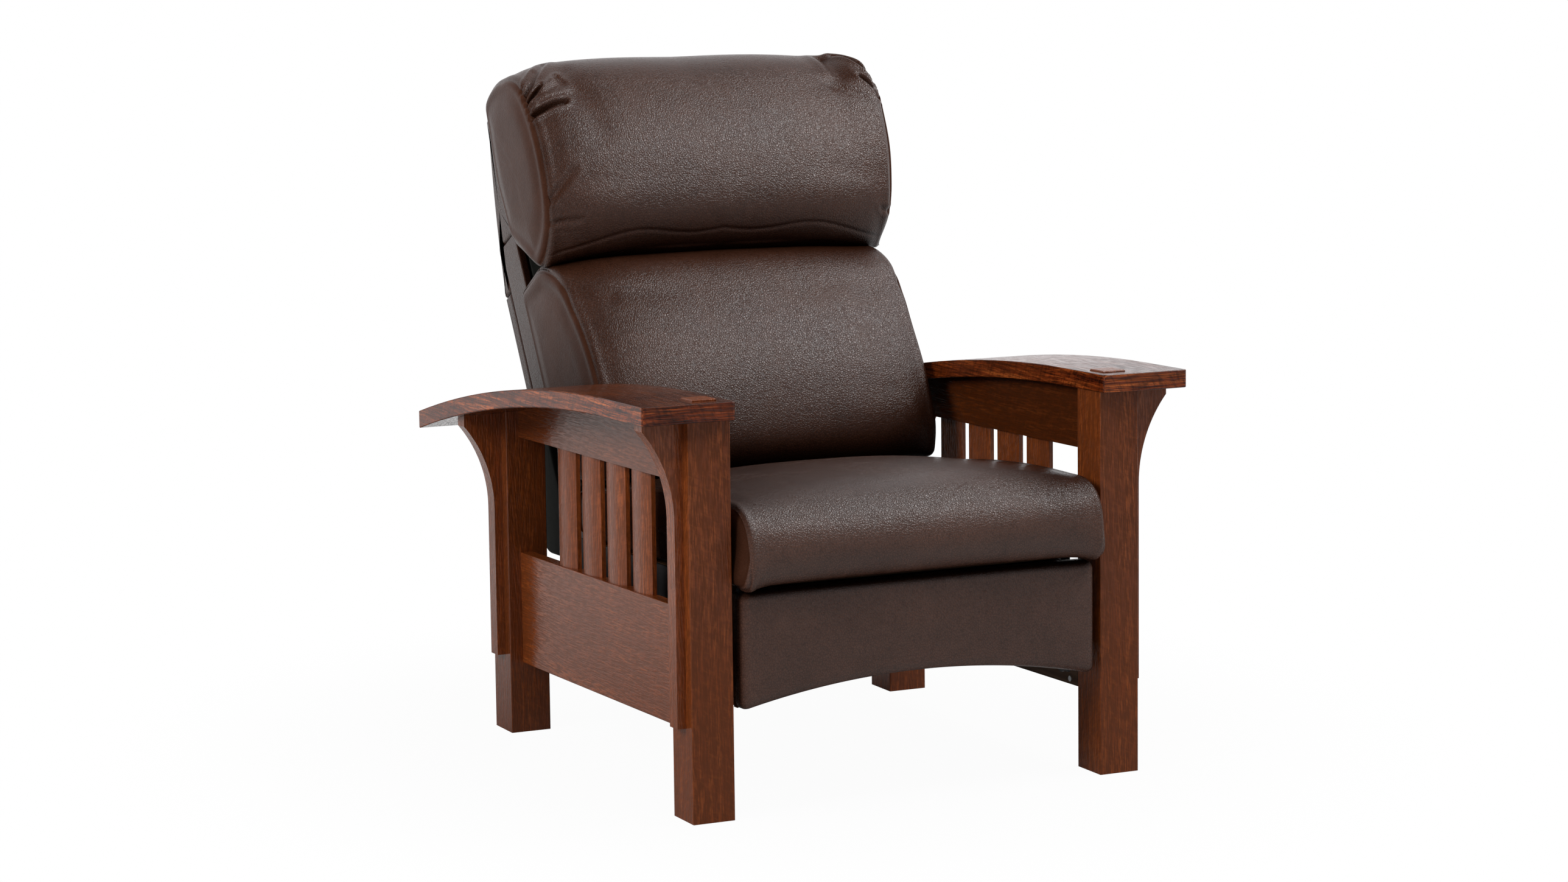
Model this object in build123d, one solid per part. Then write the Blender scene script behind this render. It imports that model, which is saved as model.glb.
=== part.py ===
from build123d import *
import math
import os

os.makedirs("parts", exist_ok=True)

# A mission reclining armchair: a bow-armed oak frame that leans back a little on
# shortened rear legs, a seat carriage that slides forward on steel tracks and throws
# out a footrest on scissor links, and a back that reclines on two pivots.
# Everything is drawn square to the frame, with the front face of the front posts at
# y = 0 and their feet at z = 0, then leaned and centred at the very end.

# Oak frame
frame_width = 775.0
post_size = 69.0
post_spread = 700.0
lean_angle = 1.18
edge_ease = 1.5
arm_underside = 605.0
arm_thickness = 28.0
arm_width = 151.5
arm_inset = 2.4
arm_front_overhang = 16.5
arm_back_overhang = 113.0
arm_corner_radius = 6.0
bow_radius = 3172.0
bow_start = 100.0
tenon_size = 40.0
tenon_proud = 2.5
tenon_fit = 0.1
arm_seating_gap = 0.2

# Side panels between the posts
rail_inset = 22.0
rail_thickness = 22.0
lower_rail_bottom = 130.0
lower_rail_height = 184.0
upper_rail_drop = 100.0
slat_count = 4
slat_width = 72.0
slat_gap = 23.5
slat_edge = 7.0
slat_crown = 8.0
slat_setback = 3.0

# Brackets under the arms
corbel_thickness = 27.0
corbel_reach = 64.5
corbel_lip = 13.0
corbel_strip = 14.3
corbel_curve_drop = 138.0
corbel_curve_radius = 217.0
corbel_foot = 143.0

# Cross members and the steel tracks
rear_rail_height = 80.0
stretcher_thickness = 20.0
stretcher_height = 60.0
stretcher_setback = 110.0
stretcher_gap = 18.0
track_depth = 12.0
track_wall = 2.0
track_height = 24.0
track_bottom = 268.0
track_start = 90.0
track_end_gap = 10.0
track_screw_radius = 3.0
track_screw_count = 5
cleat_screw_radius = 2.6
cleat_screw_head_radius = 4.5
cleat_screw_head = 2.0
screw_length = 22.0

# Seat carriage
plate_thickness = 4.0
carriage_side_gap = 18.5
plate_drop = 6.0
plate_top = 345.0
plate_back = 655.0
plate_corner_radius = 12.0
shoe_length = 50.0
shoe_clearance = 0.3
front_shoe_y = 230.0
rear_shoe_y = 600.0
seat_rail_thickness = 22.0
seat_rail_bottom = 290.0
seat_rail_top = 346.0
seat_front_y = 92.0
seat_back_y = 600.0
deck_board_thickness = 8.0
deck_board_front = 24.0
deck_board_margin = 6.0
cross_tube_radius = 12.0
cross_tube_wall = 2.0
cross_tube_y = 560.0
cross_tube_rise = 8.0
carriage_bolt_radius = 4.0
carriage_bolt_head_radius = 8.0
carriage_bolt_head = 3.0
carriage_bolt_count = 3

# Zigzag seat springs
spring_wire_radius = 1.9
spring_half_width = 24.0
spring_bend_radius = 11.0
spring_lead = 14.0
spring_count = 4
spring_bends = 16
clip_width = 16.0
clip_length = 14.0
clip_height = 6.0
clip_fit = 0.3

# Scissor links of the footrest
pivot_y = 74.0
pivot_z = 329.0
link_length = 160.0
link_width = 16.0
link_thickness = 4.0
link_gap = 1.5
folded_angle = 85.0
open_angle = 5.0
pin_radius = 4.0
running_clearance = 0.05
guide_radius = 6.0
guide_clearance = 0.1
guide_head_radius = 9.0
guide_head = 2.0
guide_plate_margin = 13.0
drive_tube_radius = 10.0
drive_tube_bore = 6.5
drive_plug_length = 30.0
bracket_web_top = 290.0
bracket_web_bottom = 205.0
bracket_flange = 26.0
bracket_flange_thickness = 3.0

# Footrest panel
panel_side_gap = 12.5
panel_back_y = 32.0
panel_board_thickness = 12.0
panel_board_margin = 3.0
panel_top = 341.0
panel_corner_bottom = 163.0
panel_arch_top = 198.0
panel_pad_depth = 28.0
panel_pad_gap = 0.3
panel_crown = 5.0
panel_edge_depth = 16.0
panel_screw_radius = 2.5
panel_screw_count = 3
panel_screw_length = 12.0
panel_screw_head = 2.0
panel_screw_head_radius = 4.5

# Seat cushion
seat_side_gap = 12.5
seat_cushion_front = -36.0
seat_cushion_back_gap = 2.0
seat_cushion_height = 144.0
seat_end_puff = 4.0

# Reclining back, in its own frame: along the back from its pivot, and forward of it
recline_angle = 29.0
back_pivot_y = 630.0
back_pivot_z = 330.0
back_pin_radius = 5.0
back_spacer_radius = 9.0
back_spacer_clearance = 0.3
back_bracket_thickness = 4.0
back_bracket_length = 120.0
back_bracket_foot = 22.0
back_bracket_ear = 14.0
back_post_width = 36.0
back_post_gap = 28.0
back_post_front = 20.0
back_post_depth = 36.0
back_frame_top = 560.0
back_rail_height = 50.0
back_low_rail = 40.0
back_mid_rail = 330.0
back_deck_front = 10.0
back_deck_start = 100.0
back_side_gap = 30.1
back_skin_gap = 0.3
back_skin_start = 215.0
back_skin_seam = 480.0
back_skin_rear = 85.0
back_skin_hem = 2.0
back_skin_top = 776.0
back_skin_middle = 640.0
back_skin_middle_rear = 45.5
back_skin_top_forward = 4.0
tail_inset = 14.0
tail_back_y = 808.0
tail_bottom_z = 307.0
tail_corner = 38.0

# Lumbar cushion and head pillow, measured in the frame of the back
cushion_gap = 0.5
lumbar_side_gap = 27.1
lumbar_start = 37.0
lumbar_depth = 237.0
lumbar_height = 420.0
lumbar_end_puff = 4.0
pillow_overhang = 11.0
pillow_start = 443.0
pillow_depth = 241.0
pillow_height = 364.0
pillow_end_puff = 10.0

# Outlines of the cushions, as shares of their depth and height. A soft end is
# outlined at its seam and the middle at its crown, and the rest blends between them.
soft_width_shares = (1.0, 0.95, 0.82, 0.65, 0.33, 0.0)
soft_crown_shares = (0.0, 0.14, 0.45, 0.68, 0.95, 1.0)
soft_puff_share = 0.6
seat_seam_shares = (
    (0.019, 0.0), (0.003, 0.34), (0.016, 0.60),
    (0.05, 0.757), (0.12, 0.80), (0.42, 0.80), (0.814, 0.60), (1.0, 0.50), (1.0, 0.0),
)
seat_crown_shares = (
    (0.035, 0.0), (0.0, 0.375), (0.019, 0.64),
    (0.079, 0.84), (0.221, 0.965), (0.412, 1.0), (0.814, 0.695), (1.0, 0.55), (1.0, 0.0),
)
lumbar_seam_shares = (
    (0.70, 0.01), (0.81, 0.085), (0.865, 0.22), (0.873, 0.42), (0.735, 0.735),
    (0.60, 0.89), (0.385, 0.975), (0.0, 0.985), (0.0, 0.18),
)
lumbar_crown_shares = (
    (0.765, 0.0), (0.892, 0.09), (0.975, 0.25), (1.0, 0.45), (0.89, 0.745),
    (0.80, 0.875), (0.65, 0.955), (0.0, 0.993), (0.0, 0.18),
)
pillow_seam_shares = (
    (0.473, 0.0), (0.695, 0.085), (0.82, 0.24), (0.87, 0.49), (0.82, 0.717), (0.72, 0.85),
    (0.52, 0.923), (0.35, 0.95), (0.175, 0.929), (0.09, 0.54), (0.115, 0.255),
)
pillow_crown_shares = (
    (0.695, 0.015), (0.88, 0.105), (0.97, 0.27), (1.0, 0.50), (0.92, 0.747), (0.79, 0.912),
    (0.54, 0.986), (0.375, 1.0), (0.02, 0.93), (0.0, 0.54), (0.0, 0.08),
)

# One depth for every cut that runs past its piece
overrun = 5.0

half_width = frame_width / 2
post_inner = half_width - post_size
rear_post_front = post_spread
rear_post_back = post_spread + post_size
arm_inner = post_inner - arm_inset
arm_outer = arm_inner + arm_width
arm_end = rear_post_back + arm_back_overhang
arm_top = arm_underside + arm_thickness
rail_outer = half_width - rail_inset
rail_inner = rail_outer - rail_thickness
lower_rail_top = lower_rail_bottom + lower_rail_height
upper_rail_bottom = arm_underside - upper_rail_drop
stretcher_bottom = track_bottom - stretcher_gap - stretcher_height
plate_bottom = track_bottom - plate_drop
cross_tube_z = track_bottom + cross_tube_rise
track_length = rear_post_front - track_end_gap - track_start
seat_cushion_depth = seat_back_y - seat_cushion_back_gap - seat_cushion_front

# Widths of what runs between the posts and between the arms
plate_outer_half = post_inner - carriage_side_gap
plate_inner = plate_outer_half - plate_thickness
panel_half_width = post_inner - panel_side_gap
seat_half_width = post_inner - seat_side_gap
back_post_half = plate_inner - back_post_gap
back_half_width = arm_inner - back_side_gap
tail_half_width = back_half_width - tail_inset
lumbar_half_width = arm_inner - lumbar_side_gap
pillow_half_width = lumbar_half_width + pillow_overhang


def block(x0, x1, y0, y1, z0, z1):
    """A square block between two opposite corners."""
    return Pos((x0 + x1) / 2, (y0 + y1) / 2, (z0 + z1) / 2) * Box(x1 - x0, y1 - y0, z1 - z0)


def rod(x0, x1, y, z, radius):
    """A round rod that runs across the chair."""
    return Pos((x0 + x1) / 2, y, z) * Rot(0, 90, 0) * Cylinder(radius, x1 - x0)


def across(face, x0, x1):
    """A side outline, drawn in y and z, carried across the chair from x0 to x1."""
    return extrude(Plane.YZ.offset(x0) * face, x1 - x0)


def bounded(*edges):
    """A face bounded by lines and arcs in order."""
    return make_face(Curve() + list(edges))


def mirrored(solid):
    """The same piece on the other side of the chair."""
    return group(*[mirror(piece, Plane.YZ) for piece in solid.solids()])


def both(solid):
    """A piece and its mirror image, as a list."""
    return [solid, mirrored(solid)]


def group(*pieces):
    """Separate solids that share one node."""
    solids = []
    for piece in pieces:
        solids += list(piece.solids())
    return Compound(solids)


def moved(place, piece):
    """A piece, or each solid of a group, at its new place."""
    return group(*[place * solid for solid in piece.solids()])


parts = {}


def add_pair(name, piece):
    """A right piece and its mirror image on the left, each in its own node."""
    parts[name + "_right"] = piece
    parts[name + "_left"] = mirrored(piece)


# The bow of the arms: level at the front, then one long arc down to the rear
def bow_height(y, radius, level):
    """The height of the bow at a distance y behind the front of the posts."""
    run = max(0.0, y - bow_start)
    return level - radius + math.sqrt(radius ** 2 - run ** 2)


def under_arm(y):
    """The height of the arm's underside."""
    return bow_height(y, bow_radius, arm_underside)


def bow_arc(y0, y1, radius, level):
    """The bow's arc between two places."""
    middle = (y0 + y1) / 2
    return ThreePointArc(*[(y, bow_height(y, radius, level)) for y in (y0, middle, y1)])


def below_bow(y0, y1, z0):
    """The side outline from z0 up to the arm's underside, with its seating gap."""
    level = arm_underside - arm_seating_gap
    start = max(y0, bow_start)
    edges = [bow_arc(start, y1, bow_radius, level)]
    if y0 < start:
        edges.append(Line((y0, level), (start, level)))
    rest = [(y1, bow_height(y1, bow_radius, level)), (y1, z0), (y0, z0), (y0, bow_height(y0, bow_radius, level))]
    edges += list(Polyline(*rest).edges())
    return bounded(*edges)


arm_edges = [
    bow_arc(bow_start, arm_end, bow_radius + arm_thickness, arm_top),
    bow_arc(bow_start, arm_end, bow_radius, arm_underside),
    Line((arm_end, under_arm(arm_end)), (arm_end, bow_height(arm_end, bow_radius + arm_thickness, arm_top))),
]
arm_nose = Polyline(
    (bow_start, arm_underside), (-arm_front_overhang, arm_underside),
    (-arm_front_overhang, arm_top), (bow_start, arm_top),
)
arm = across(bounded(*arm_edges, *arm_nose.edges()), arm_inner, arm_outer)
arm = fillet(arm.edges().filter_by(Axis.Z).sort_by(Axis.Y)[:2], arm_corner_radius)
arm = fillet(arm.edges().filter_by(Axis.Z, reverse=True), edge_ease)

# Posts, cut level with the floor when the frame leans back
floor_slope = math.tan(math.radians(lean_angle))


def make_post(y0, body):
    """The right post that starts at y0, from its unfinished body."""
    y1 = y0 + post_size
    eased = fillet(body.edges().filter_by(Axis.Z), edge_ease)
    below = -overrun * 2
    floor = Polyline(
        (y0 - overrun, (y0 - overrun) * floor_slope), (y1 + overrun, (y1 + overrun) * floor_slope),
        (y1 + overrun, below), (y0 - overrun, below), close=True,
    )
    return eased - across(make_face(floor), post_inner - overrun, half_width + overrun)


front_post = make_post(0.0, block(post_inner, half_width, 0.0, post_size, -overrun, arm_underside))
rear_face = below_bow(rear_post_front, rear_post_back, -overrun)
rear_post = make_post(rear_post_front, across(rear_face, post_inner, half_width))
tenon_x = half_width - post_size / 2
tenon_y = post_size / 2
tenon_reach = tenon_size / 2
tenon = block(tenon_x - tenon_reach, tenon_x + tenon_reach, tenon_y - tenon_reach, tenon_y + tenon_reach,
              arm_underside, arm_top + tenon_proud)
tenon = chamfer(tenon.faces().sort_by(Axis.Z)[-1].edges(), edge_ease)
mortise_reach = tenon_reach + tenon_fit
arm -= block(tenon_x - mortise_reach, tenon_x + mortise_reach, tenon_y - mortise_reach, tenon_y + mortise_reach,
             arm_underside - overrun, arm_top + overrun)
add_pair("front_post", front_post + tenon)
add_pair("rear_post", rear_post)
add_pair("arm", arm)

# Side rails and the slats between them
lower_rail = block(rail_inner, rail_outer, post_size, rear_post_front, lower_rail_bottom, lower_rail_top)
add_pair("lower_rail", fillet(lower_rail.edges().filter_by(Axis.Y), edge_ease))
add_pair("upper_rail", across(below_bow(post_size, rear_post_front, upper_rail_bottom), rail_inner, rail_outer))
slat_back = rail_outer - slat_setback - slat_crown - slat_edge
slat_shoulder = slat_back + slat_edge


def make_slat(y0):
    """A slat with a flat inner face and a crowned outer face."""
    y1 = y0 + slat_width
    crest = (slat_shoulder + slat_crown, y0 + slat_width / 2)
    section = bounded(
        Line((slat_back, y0), (slat_shoulder, y0)),
        ThreePointArc((slat_shoulder, y0), crest, (slat_shoulder, y1)),
        Line((slat_shoulder, y1), (slat_back, y1)),
        Line((slat_back, y1), (slat_back, y0)),
    )
    return extrude(Plane.XY.offset(lower_rail_top) * section, upper_rail_bottom - lower_rail_top)


slat_pitch = slat_width + slat_gap
slat_group = slat_pitch * slat_count - slat_gap
slat_start = (post_size + rear_post_front - slat_group) / 2
add_pair("slats", group(*[make_slat(slat_start + slat_pitch * index) for index in range(slat_count)]))

# Curved brackets on the outer faces of the posts
corbel_strip_x = half_width + corbel_strip
corbel_lip_x = half_width + corbel_reach


def make_corbel(post_front):
    """The right bracket of the post that starts at post_front."""
    y0 = post_front + (post_size - corbel_thickness) / 2
    y1 = y0 + corbel_thickness
    lip_top = under_arm(y0)
    lip_bottom = under_arm(y1) - corbel_lip
    curve_end = lip_bottom - corbel_curve_drop
    middle = (lip_bottom + curve_end) / 2
    middle_x = corbel_strip_x + corbel_curve_radius - math.sqrt(corbel_curve_radius ** 2 - (middle - curve_end) ** 2)
    face = bounded(
        ThreePointArc((corbel_strip_x, curve_end), (middle_x, middle), (corbel_lip_x, lip_bottom)),
        *Polyline(
            (corbel_lip_x, lip_bottom), (corbel_lip_x, lip_top), (half_width, lip_top),
            (half_width, corbel_foot), (corbel_strip_x, corbel_foot), (corbel_strip_x, curve_end),
        ).edges(),
    )
    blank = extrude(Plane.XZ.offset(-y0) * face, -corbel_thickness)
    if post_front > bow_start:
        blank &= across(below_bow(y0, y1, corbel_foot), half_width, corbel_lip_x)
    return blank


add_pair("front_corbel", make_corbel(0.0))
add_pair("rear_corbel", make_corbel(rear_post_front))

# Cross members between the sides, and the cleats that carry the tracks
rear_rail_back = rear_post_back - rail_inset
rear_rail = block(-post_inner, post_inner, rear_rail_back - rail_thickness, rear_rail_back,
                  lower_rail_bottom, lower_rail_bottom + rear_rail_height)
parts["rear_rail"] = fillet(rear_rail.edges().filter_by(Axis.X), edge_ease)
parts["front_stretcher"] = block(
    -post_inner, post_inner, stretcher_setback, stretcher_setback + stretcher_thickness,
    stretcher_bottom, stretcher_bottom + stretcher_height)
track_inner = post_inner - track_depth
track_top = track_bottom + track_height
track_web = post_inner - track_wall
cleat = block(post_inner, rail_inner, post_size, rear_post_front, lower_rail_bottom, track_top)
track = block(track_inner, post_inner, track_start, track_start + track_length, track_bottom, track_top)
track -= block(track_inner - overrun, track_web, track_start - overrun, track_start + track_length + overrun,
               track_bottom + track_wall, track_top - track_wall)
track_screws = []
track_middle = (track_bottom + track_top) / 2
for index in range(track_screw_count):
    y = track_start + track_length * (index + 1 / 2) / track_screw_count
    screw = rod(track_web, post_inner + screw_length, y, track_middle, track_screw_radius)
    track -= screw
    cleat -= screw
    track_screws += both(screw)
cleat_screws = []
for y in (post_size + screw_length, rear_post_front - screw_length):
    z = lower_rail_bottom + cleat_screw_head_radius * 2
    screw = rod(post_inner, post_inner + screw_length, y, z, cleat_screw_radius)
    cleat -= screw
    cleat_screws += both(screw + rod(post_inner - cleat_screw_head, post_inner, y, z, cleat_screw_head_radius))
add_pair("cleat", cleat)
add_pair("track", track)
parts["track_screws"] = group(*track_screws)
parts["cleat_screws"] = group(*cleat_screws)

# Seat carriage: side plates, slotted guide plates, glide shoes and a wooden seat frame
guide_front = pivot_y - guide_plate_margin
guide_back = pivot_y + guide_plate_margin
plate = block(plate_inner, plate_outer_half, guide_back, plate_back, plate_bottom, plate_top)
plate = fillet(plate.edges().filter_by(Axis.X).sort_by(Axis.Y)[-2:], plate_corner_radius)
plate -= rod(plate_inner - overrun, plate_outer_half + overrun, back_pivot_y, back_pivot_z,
             back_pin_radius + running_clearance)
folded_run = link_length * math.cos(math.radians(folded_angle))
folded_rise = link_length * math.sin(math.radians(folded_angle))
slot_low = pivot_z - folded_rise
slot_high = pivot_z - link_length * math.sin(math.radians(open_angle))
slot_radius = guide_radius + guide_clearance
guide_plate = block(plate_inner, plate_outer_half, guide_front, guide_back,
                    slot_low - guide_plate_margin, pivot_z + guide_plate_margin)
guide_plate -= block(plate_inner - overrun, plate_outer_half + overrun,
                     pivot_y - slot_radius, pivot_y + slot_radius, slot_low, slot_high)
for z, radius in ((slot_low, slot_radius), (slot_high, slot_radius), (pivot_z, pin_radius + running_clearance)):
    guide_plate -= rod(plate_inner - overrun, plate_outer_half + overrun, pivot_y, z, radius)
parts["guide_plates"] = group(*both(guide_plate))

shoe_low = track_bottom + track_wall + shoe_clearance
shoe_high = track_top - track_wall - shoe_clearance
shoes = []
for y in (front_shoe_y, rear_shoe_y):
    shoes += both(block(plate_outer_half, track_web - shoe_clearance,
                        y - shoe_length / 2, y + shoe_length / 2, shoe_low, shoe_high))
parts["glide_shoes"] = group(*shoes)

seat_rail_half = plate_inner - seat_rail_thickness
side_rail_start = seat_front_y + seat_rail_thickness
side_rail = block(seat_rail_half, plate_inner, side_rail_start, seat_back_y, seat_rail_bottom, seat_rail_top)
bolts = []
for index in range(carriage_bolt_count):
    y = side_rail_start + (seat_back_y - side_rail_start) * (index + 1 / 2) / carriage_bolt_count
    z = plate_top - guide_plate_margin
    shank = rod(seat_rail_half, plate_outer_half, y, z, carriage_bolt_radius)
    side_rail -= shank
    plate -= shank
    head = rod(plate_outer_half, plate_outer_half + carriage_bolt_head, y, z, carriage_bolt_head_radius)
    bolts += both(shank + head)
add_pair("side_plate", plate)
parts["carriage_bolts"] = group(*bolts)
parts["seat_side_rails"] = group(*both(side_rail))
parts["seat_front_rail"] = block(-plate_inner, plate_inner, seat_front_y, side_rail_start,
                                 seat_rail_bottom, seat_rail_top)
parts["seat_rear_rail"] = block(-seat_rail_half, seat_rail_half, seat_back_y - seat_rail_thickness, seat_back_y,
                                seat_rail_bottom, seat_rail_top)
deck_half = plate_inner - deck_board_margin
deck_back = seat_front_y + seat_rail_thickness / 2
deck_board_top = seat_rail_top + deck_board_thickness
parts["seat_front_board"] = block(-deck_half, deck_half, deck_board_front, deck_back, seat_rail_top, deck_board_top)
cross_tube = rod(-plate_inner, plate_inner, cross_tube_y, cross_tube_z, cross_tube_radius)
cross_tube -= rod(-plate_inner - overrun, plate_inner + overrun, cross_tube_y, cross_tube_z,
                  cross_tube_radius - cross_tube_wall)
parts["carriage_cross_tube"] = cross_tube

# Zigzag springs clipped to the front and rear rails of the seat
clip_front = deck_back + clip_fit
clip_back = seat_back_y - clip_length
spring_start = clip_front + clip_length
spring_pitch = (clip_back - spring_start - spring_lead * 2) / spring_bends
spring_z = seat_rail_top + clip_height / 2
springs = []
clips = []
for index in range(spring_count):
    x = seat_rail_half * 2 * (index + 1 / 2) / spring_count - seat_rail_half
    points = [(x, spring_start, spring_z), (x, spring_start + spring_lead, spring_z)]
    for bend in range(spring_bends):
        side = x + spring_half_width if bend % 2 else x - spring_half_width
        y = spring_start + spring_lead + spring_pitch * bend
        points += [(side, y, spring_z), (side, y + spring_pitch, spring_z)]
    points += [(x, clip_back - spring_lead, spring_z), (x, clip_back, spring_z)]
    path = FilletPolyline(*points, radius=min(spring_bend_radius, spring_pitch * 2 / 5))
    springs.append(sweep(Plane(origin=path @ 0, z_dir=path % 0) * Circle(spring_wire_radius), path=path))
    for y in (clip_front, clip_back):
        clips.append(block(x - clip_width / 2, x + clip_width / 2, y, y + clip_length,
                           seat_rail_top, seat_rail_top + clip_height))
parts["seat_springs"] = group(*springs)
parts["spring_clips"] = group(*clips)

# Footrest linkage, one set of flat links at each side, stacked inward from the plates
plane_step = link_thickness + link_gap
cross_outer = plate_inner - link_gap
drive_outer = cross_outer - plane_step
control_outer = drive_outer - plane_step
rest_outer = control_outer - plane_step
rest_inner = rest_outer - link_thickness
tube_end = rest_inner - link_gap
joint_fixed = (pivot_y, pivot_z)
joint_guide = (pivot_y, pivot_z - folded_rise)
joint_cross = (pivot_y - folded_run / 2, pivot_z - folded_rise / 2)
joint_low = (pivot_y - folded_run, pivot_z - folded_rise)
joint_rest = (pivot_y - folded_run, pivot_z)
joint_control = (pivot_y - folded_run * 3 / 2, pivot_z - folded_rise / 2)
rest_end = (pivot_y - folded_run * 2, pivot_z - folded_rise)


def pin(inner, outer, place, radius):
    """A pin between two widths, at a joint."""
    return rod(inner, outer, place[0], place[1], radius)


def link(start, end, outer, holes):
    """A flat link from one joint to another, with round holes."""
    angle = math.degrees(math.atan2(end[1] - start[1], end[0] - start[0]))
    middle = ((start[0] + end[0]) / 2, (start[1] + end[1]) / 2)
    shape = Pos(*middle) * Rot(0, 0, angle) * SlotCenterToCenter(math.dist(start, end), link_width)
    bar = across(shape, outer - link_thickness, outer)
    for place in holes:
        bar -= pin(outer - link_thickness - overrun, outer + overrun, place, pin_radius + running_clearance)
    return bar


drive_link = link(joint_fixed, joint_low, drive_outer, (joint_fixed, joint_cross, joint_low))
cross_link = link(joint_guide, joint_rest, cross_outer, (joint_guide, joint_cross, joint_rest))
control_link = link(joint_low, joint_control, control_outer, (joint_low, joint_control))
parts["drive_links"] = group(*both(drive_link))
parts["cross_links"] = group(*both(cross_link))
parts["control_links"] = group(*both(control_link))

# Pins and the tube that makes both sides move together
drive_pin = pin(tube_end, plate_outer_half, joint_fixed, pin_radius)
drive_pin += pin(tube_end - drive_plug_length, tube_end, joint_fixed, drive_tube_bore - running_clearance)
scissor_pin = pin(drive_outer - link_thickness, cross_outer, joint_cross, pin_radius)
low_pin = pin(control_outer - link_thickness, drive_outer, joint_low, pin_radius)
parts["drive_pins"] = group(*both(drive_pin), *both(scissor_pin), *both(low_pin))
drive_tube = rod(-tube_end, tube_end, pivot_y, pivot_z, drive_tube_radius)
drive_tube -= rod(-tube_end - overrun, tube_end + overrun, pivot_y, pivot_z, drive_tube_bore)
parts["drive_tube"] = drive_tube
guide_shoulder = plate_inner - link_gap / 2
guide_face = plate_outer_half + guide_clearance
guide_pin = pin(cross_outer - link_thickness, guide_shoulder, joint_guide, pin_radius)
guide_pin += pin(guide_shoulder, guide_face, joint_guide, guide_radius)
guide_pin += pin(guide_face, guide_face + guide_head, joint_guide, guide_head_radius)
rest_pin = pin(rest_inner, cross_outer, joint_rest, pin_radius)
parts["cross_pins"] = group(*both(guide_pin), *both(rest_pin))
parts["footrest_pins"] = group(*both(pin(rest_inner, control_outer, joint_control, pin_radius)))

# Footrest: brackets, an arched board and its pad
flange_inner = rest_inner - bracket_flange
flange_back = panel_back_y + bracket_flange_thickness
bracket = link(joint_rest, rest_end, rest_outer, ())
bracket += block(rest_inner, rest_outer, panel_back_y, rest_end[0] + link_width / 2, bracket_web_bottom, bracket_web_top)
bracket += block(flange_inner, rest_outer, panel_back_y, flange_back, bracket_web_bottom, bracket_web_top)
for place in (joint_rest, joint_control):
    bracket -= pin(rest_inner - overrun, rest_outer + overrun, place, pin_radius + running_clearance)


def arched_layer(y, inset):
    """The footrest's front outline at one depth, drawn in on every side."""
    half = panel_half_width - inset
    top = panel_top - inset
    corner = panel_corner_bottom + inset
    edges = Polyline((-half, corner), (-half, top), (half, top), (half, corner)).edges()
    arch = ThreePointArc((half, corner), (0.0, panel_arch_top + inset), (-half, corner))
    return Plane.XZ.offset(-y) * bounded(*edges, arch)


board_front = panel_back_y - panel_board_thickness
board = extrude(arched_layer(panel_back_y, panel_board_margin), panel_board_thickness)
pad_back = board_front - panel_pad_gap
pad_front = board_front - panel_pad_depth
pad_layers = [
    arched_layer(pad_back, 0.0),
    arched_layer(pad_front + panel_edge_depth, 0.0),
    arched_layer(pad_front + panel_edge_depth / 4, panel_edge_depth / 4),
    arched_layer(pad_front, panel_edge_depth),
    arched_layer(pad_front - panel_crown, panel_edge_depth * 3),
]
parts["footrest_pad"] = loft(pad_layers, ruled=True)
screws = []
for index in range(panel_screw_count):
    z = bracket_web_bottom + (bracket_web_top - bracket_web_bottom) * (index + 1 / 2) / panel_screw_count
    place = Pos(flange_inner + bracket_flange / 2, flange_back, z) * Rot(90, 0, 0)
    shank = place * Cylinder(panel_screw_radius, panel_screw_length, align=(Align.CENTER, Align.CENTER, Align.MIN))
    head = place * Cylinder(panel_screw_head_radius, panel_screw_head, align=(Align.CENTER, Align.CENTER, Align.MAX))
    bracket -= shank
    for bore in both(shank):
        board -= bore
    screws += both(shank + head)
parts["footrest_brackets"] = group(*both(bracket))
parts["footrest_board"] = board
parts["footrest_screws"] = group(*screws)


# Cushions: a seam outline at each end, a crowned one in the middle, and puffed end panels
def soft_outline(shares, corner, span, kinds):
    """The edges of a cushion's outline, from shares of its two sizes."""
    points = [(corner[0] + a * span[0], corner[1] + b * span[1]) for a, b in shares]
    points.append(points[0])
    edges = []
    at = 0
    for kind in kinds:
        if kind == "arc":
            edges.append(ThreePointArc(*points[at:at + 3]))
            at += 2
        else:
            edges.append(Line(points[at], points[at + 1]))
            at += 1
    return bounded(*edges)


def blended(first, last, amount):
    """Places part of the way from one list of places to another."""
    return [(a + (c - a) * amount, b + (d - b) * amount) for (a, b), (c, d) in zip(first, last)]


def cushion(half, puff, seam, crown, kinds, corner, span):
    """A stuffed form across the chair, crowned in the middle and drawn in at its ends."""
    centre = [(sum(a for a, b in seam) / len(seam), sum(b for a, b in seam) / len(seam))] * len(seam)
    sections = [(half + puff, blended(centre, seam, soft_puff_share))]
    for width, amount in zip(soft_width_shares, soft_crown_shares):
        sections.append((half * width, blended(seam, crown, amount)))
    whole = [(-x, places) for x, places in sections[:-1]] + sections[::-1]
    faces = [Plane.YZ.offset(x) * soft_outline(places, corner, span, kinds) for x, places in whole]
    return loft(faces, ruled=True)


seat_kinds = ("arc", "arc", "arc", "line", "line", "line")
parts["seat_cushion"] = cushion(
    seat_half_width, seat_end_puff, seat_seam_shares, seat_crown_shares, seat_kinds,
    (seat_cushion_front, deck_board_top), (seat_cushion_depth, seat_cushion_height))

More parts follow.
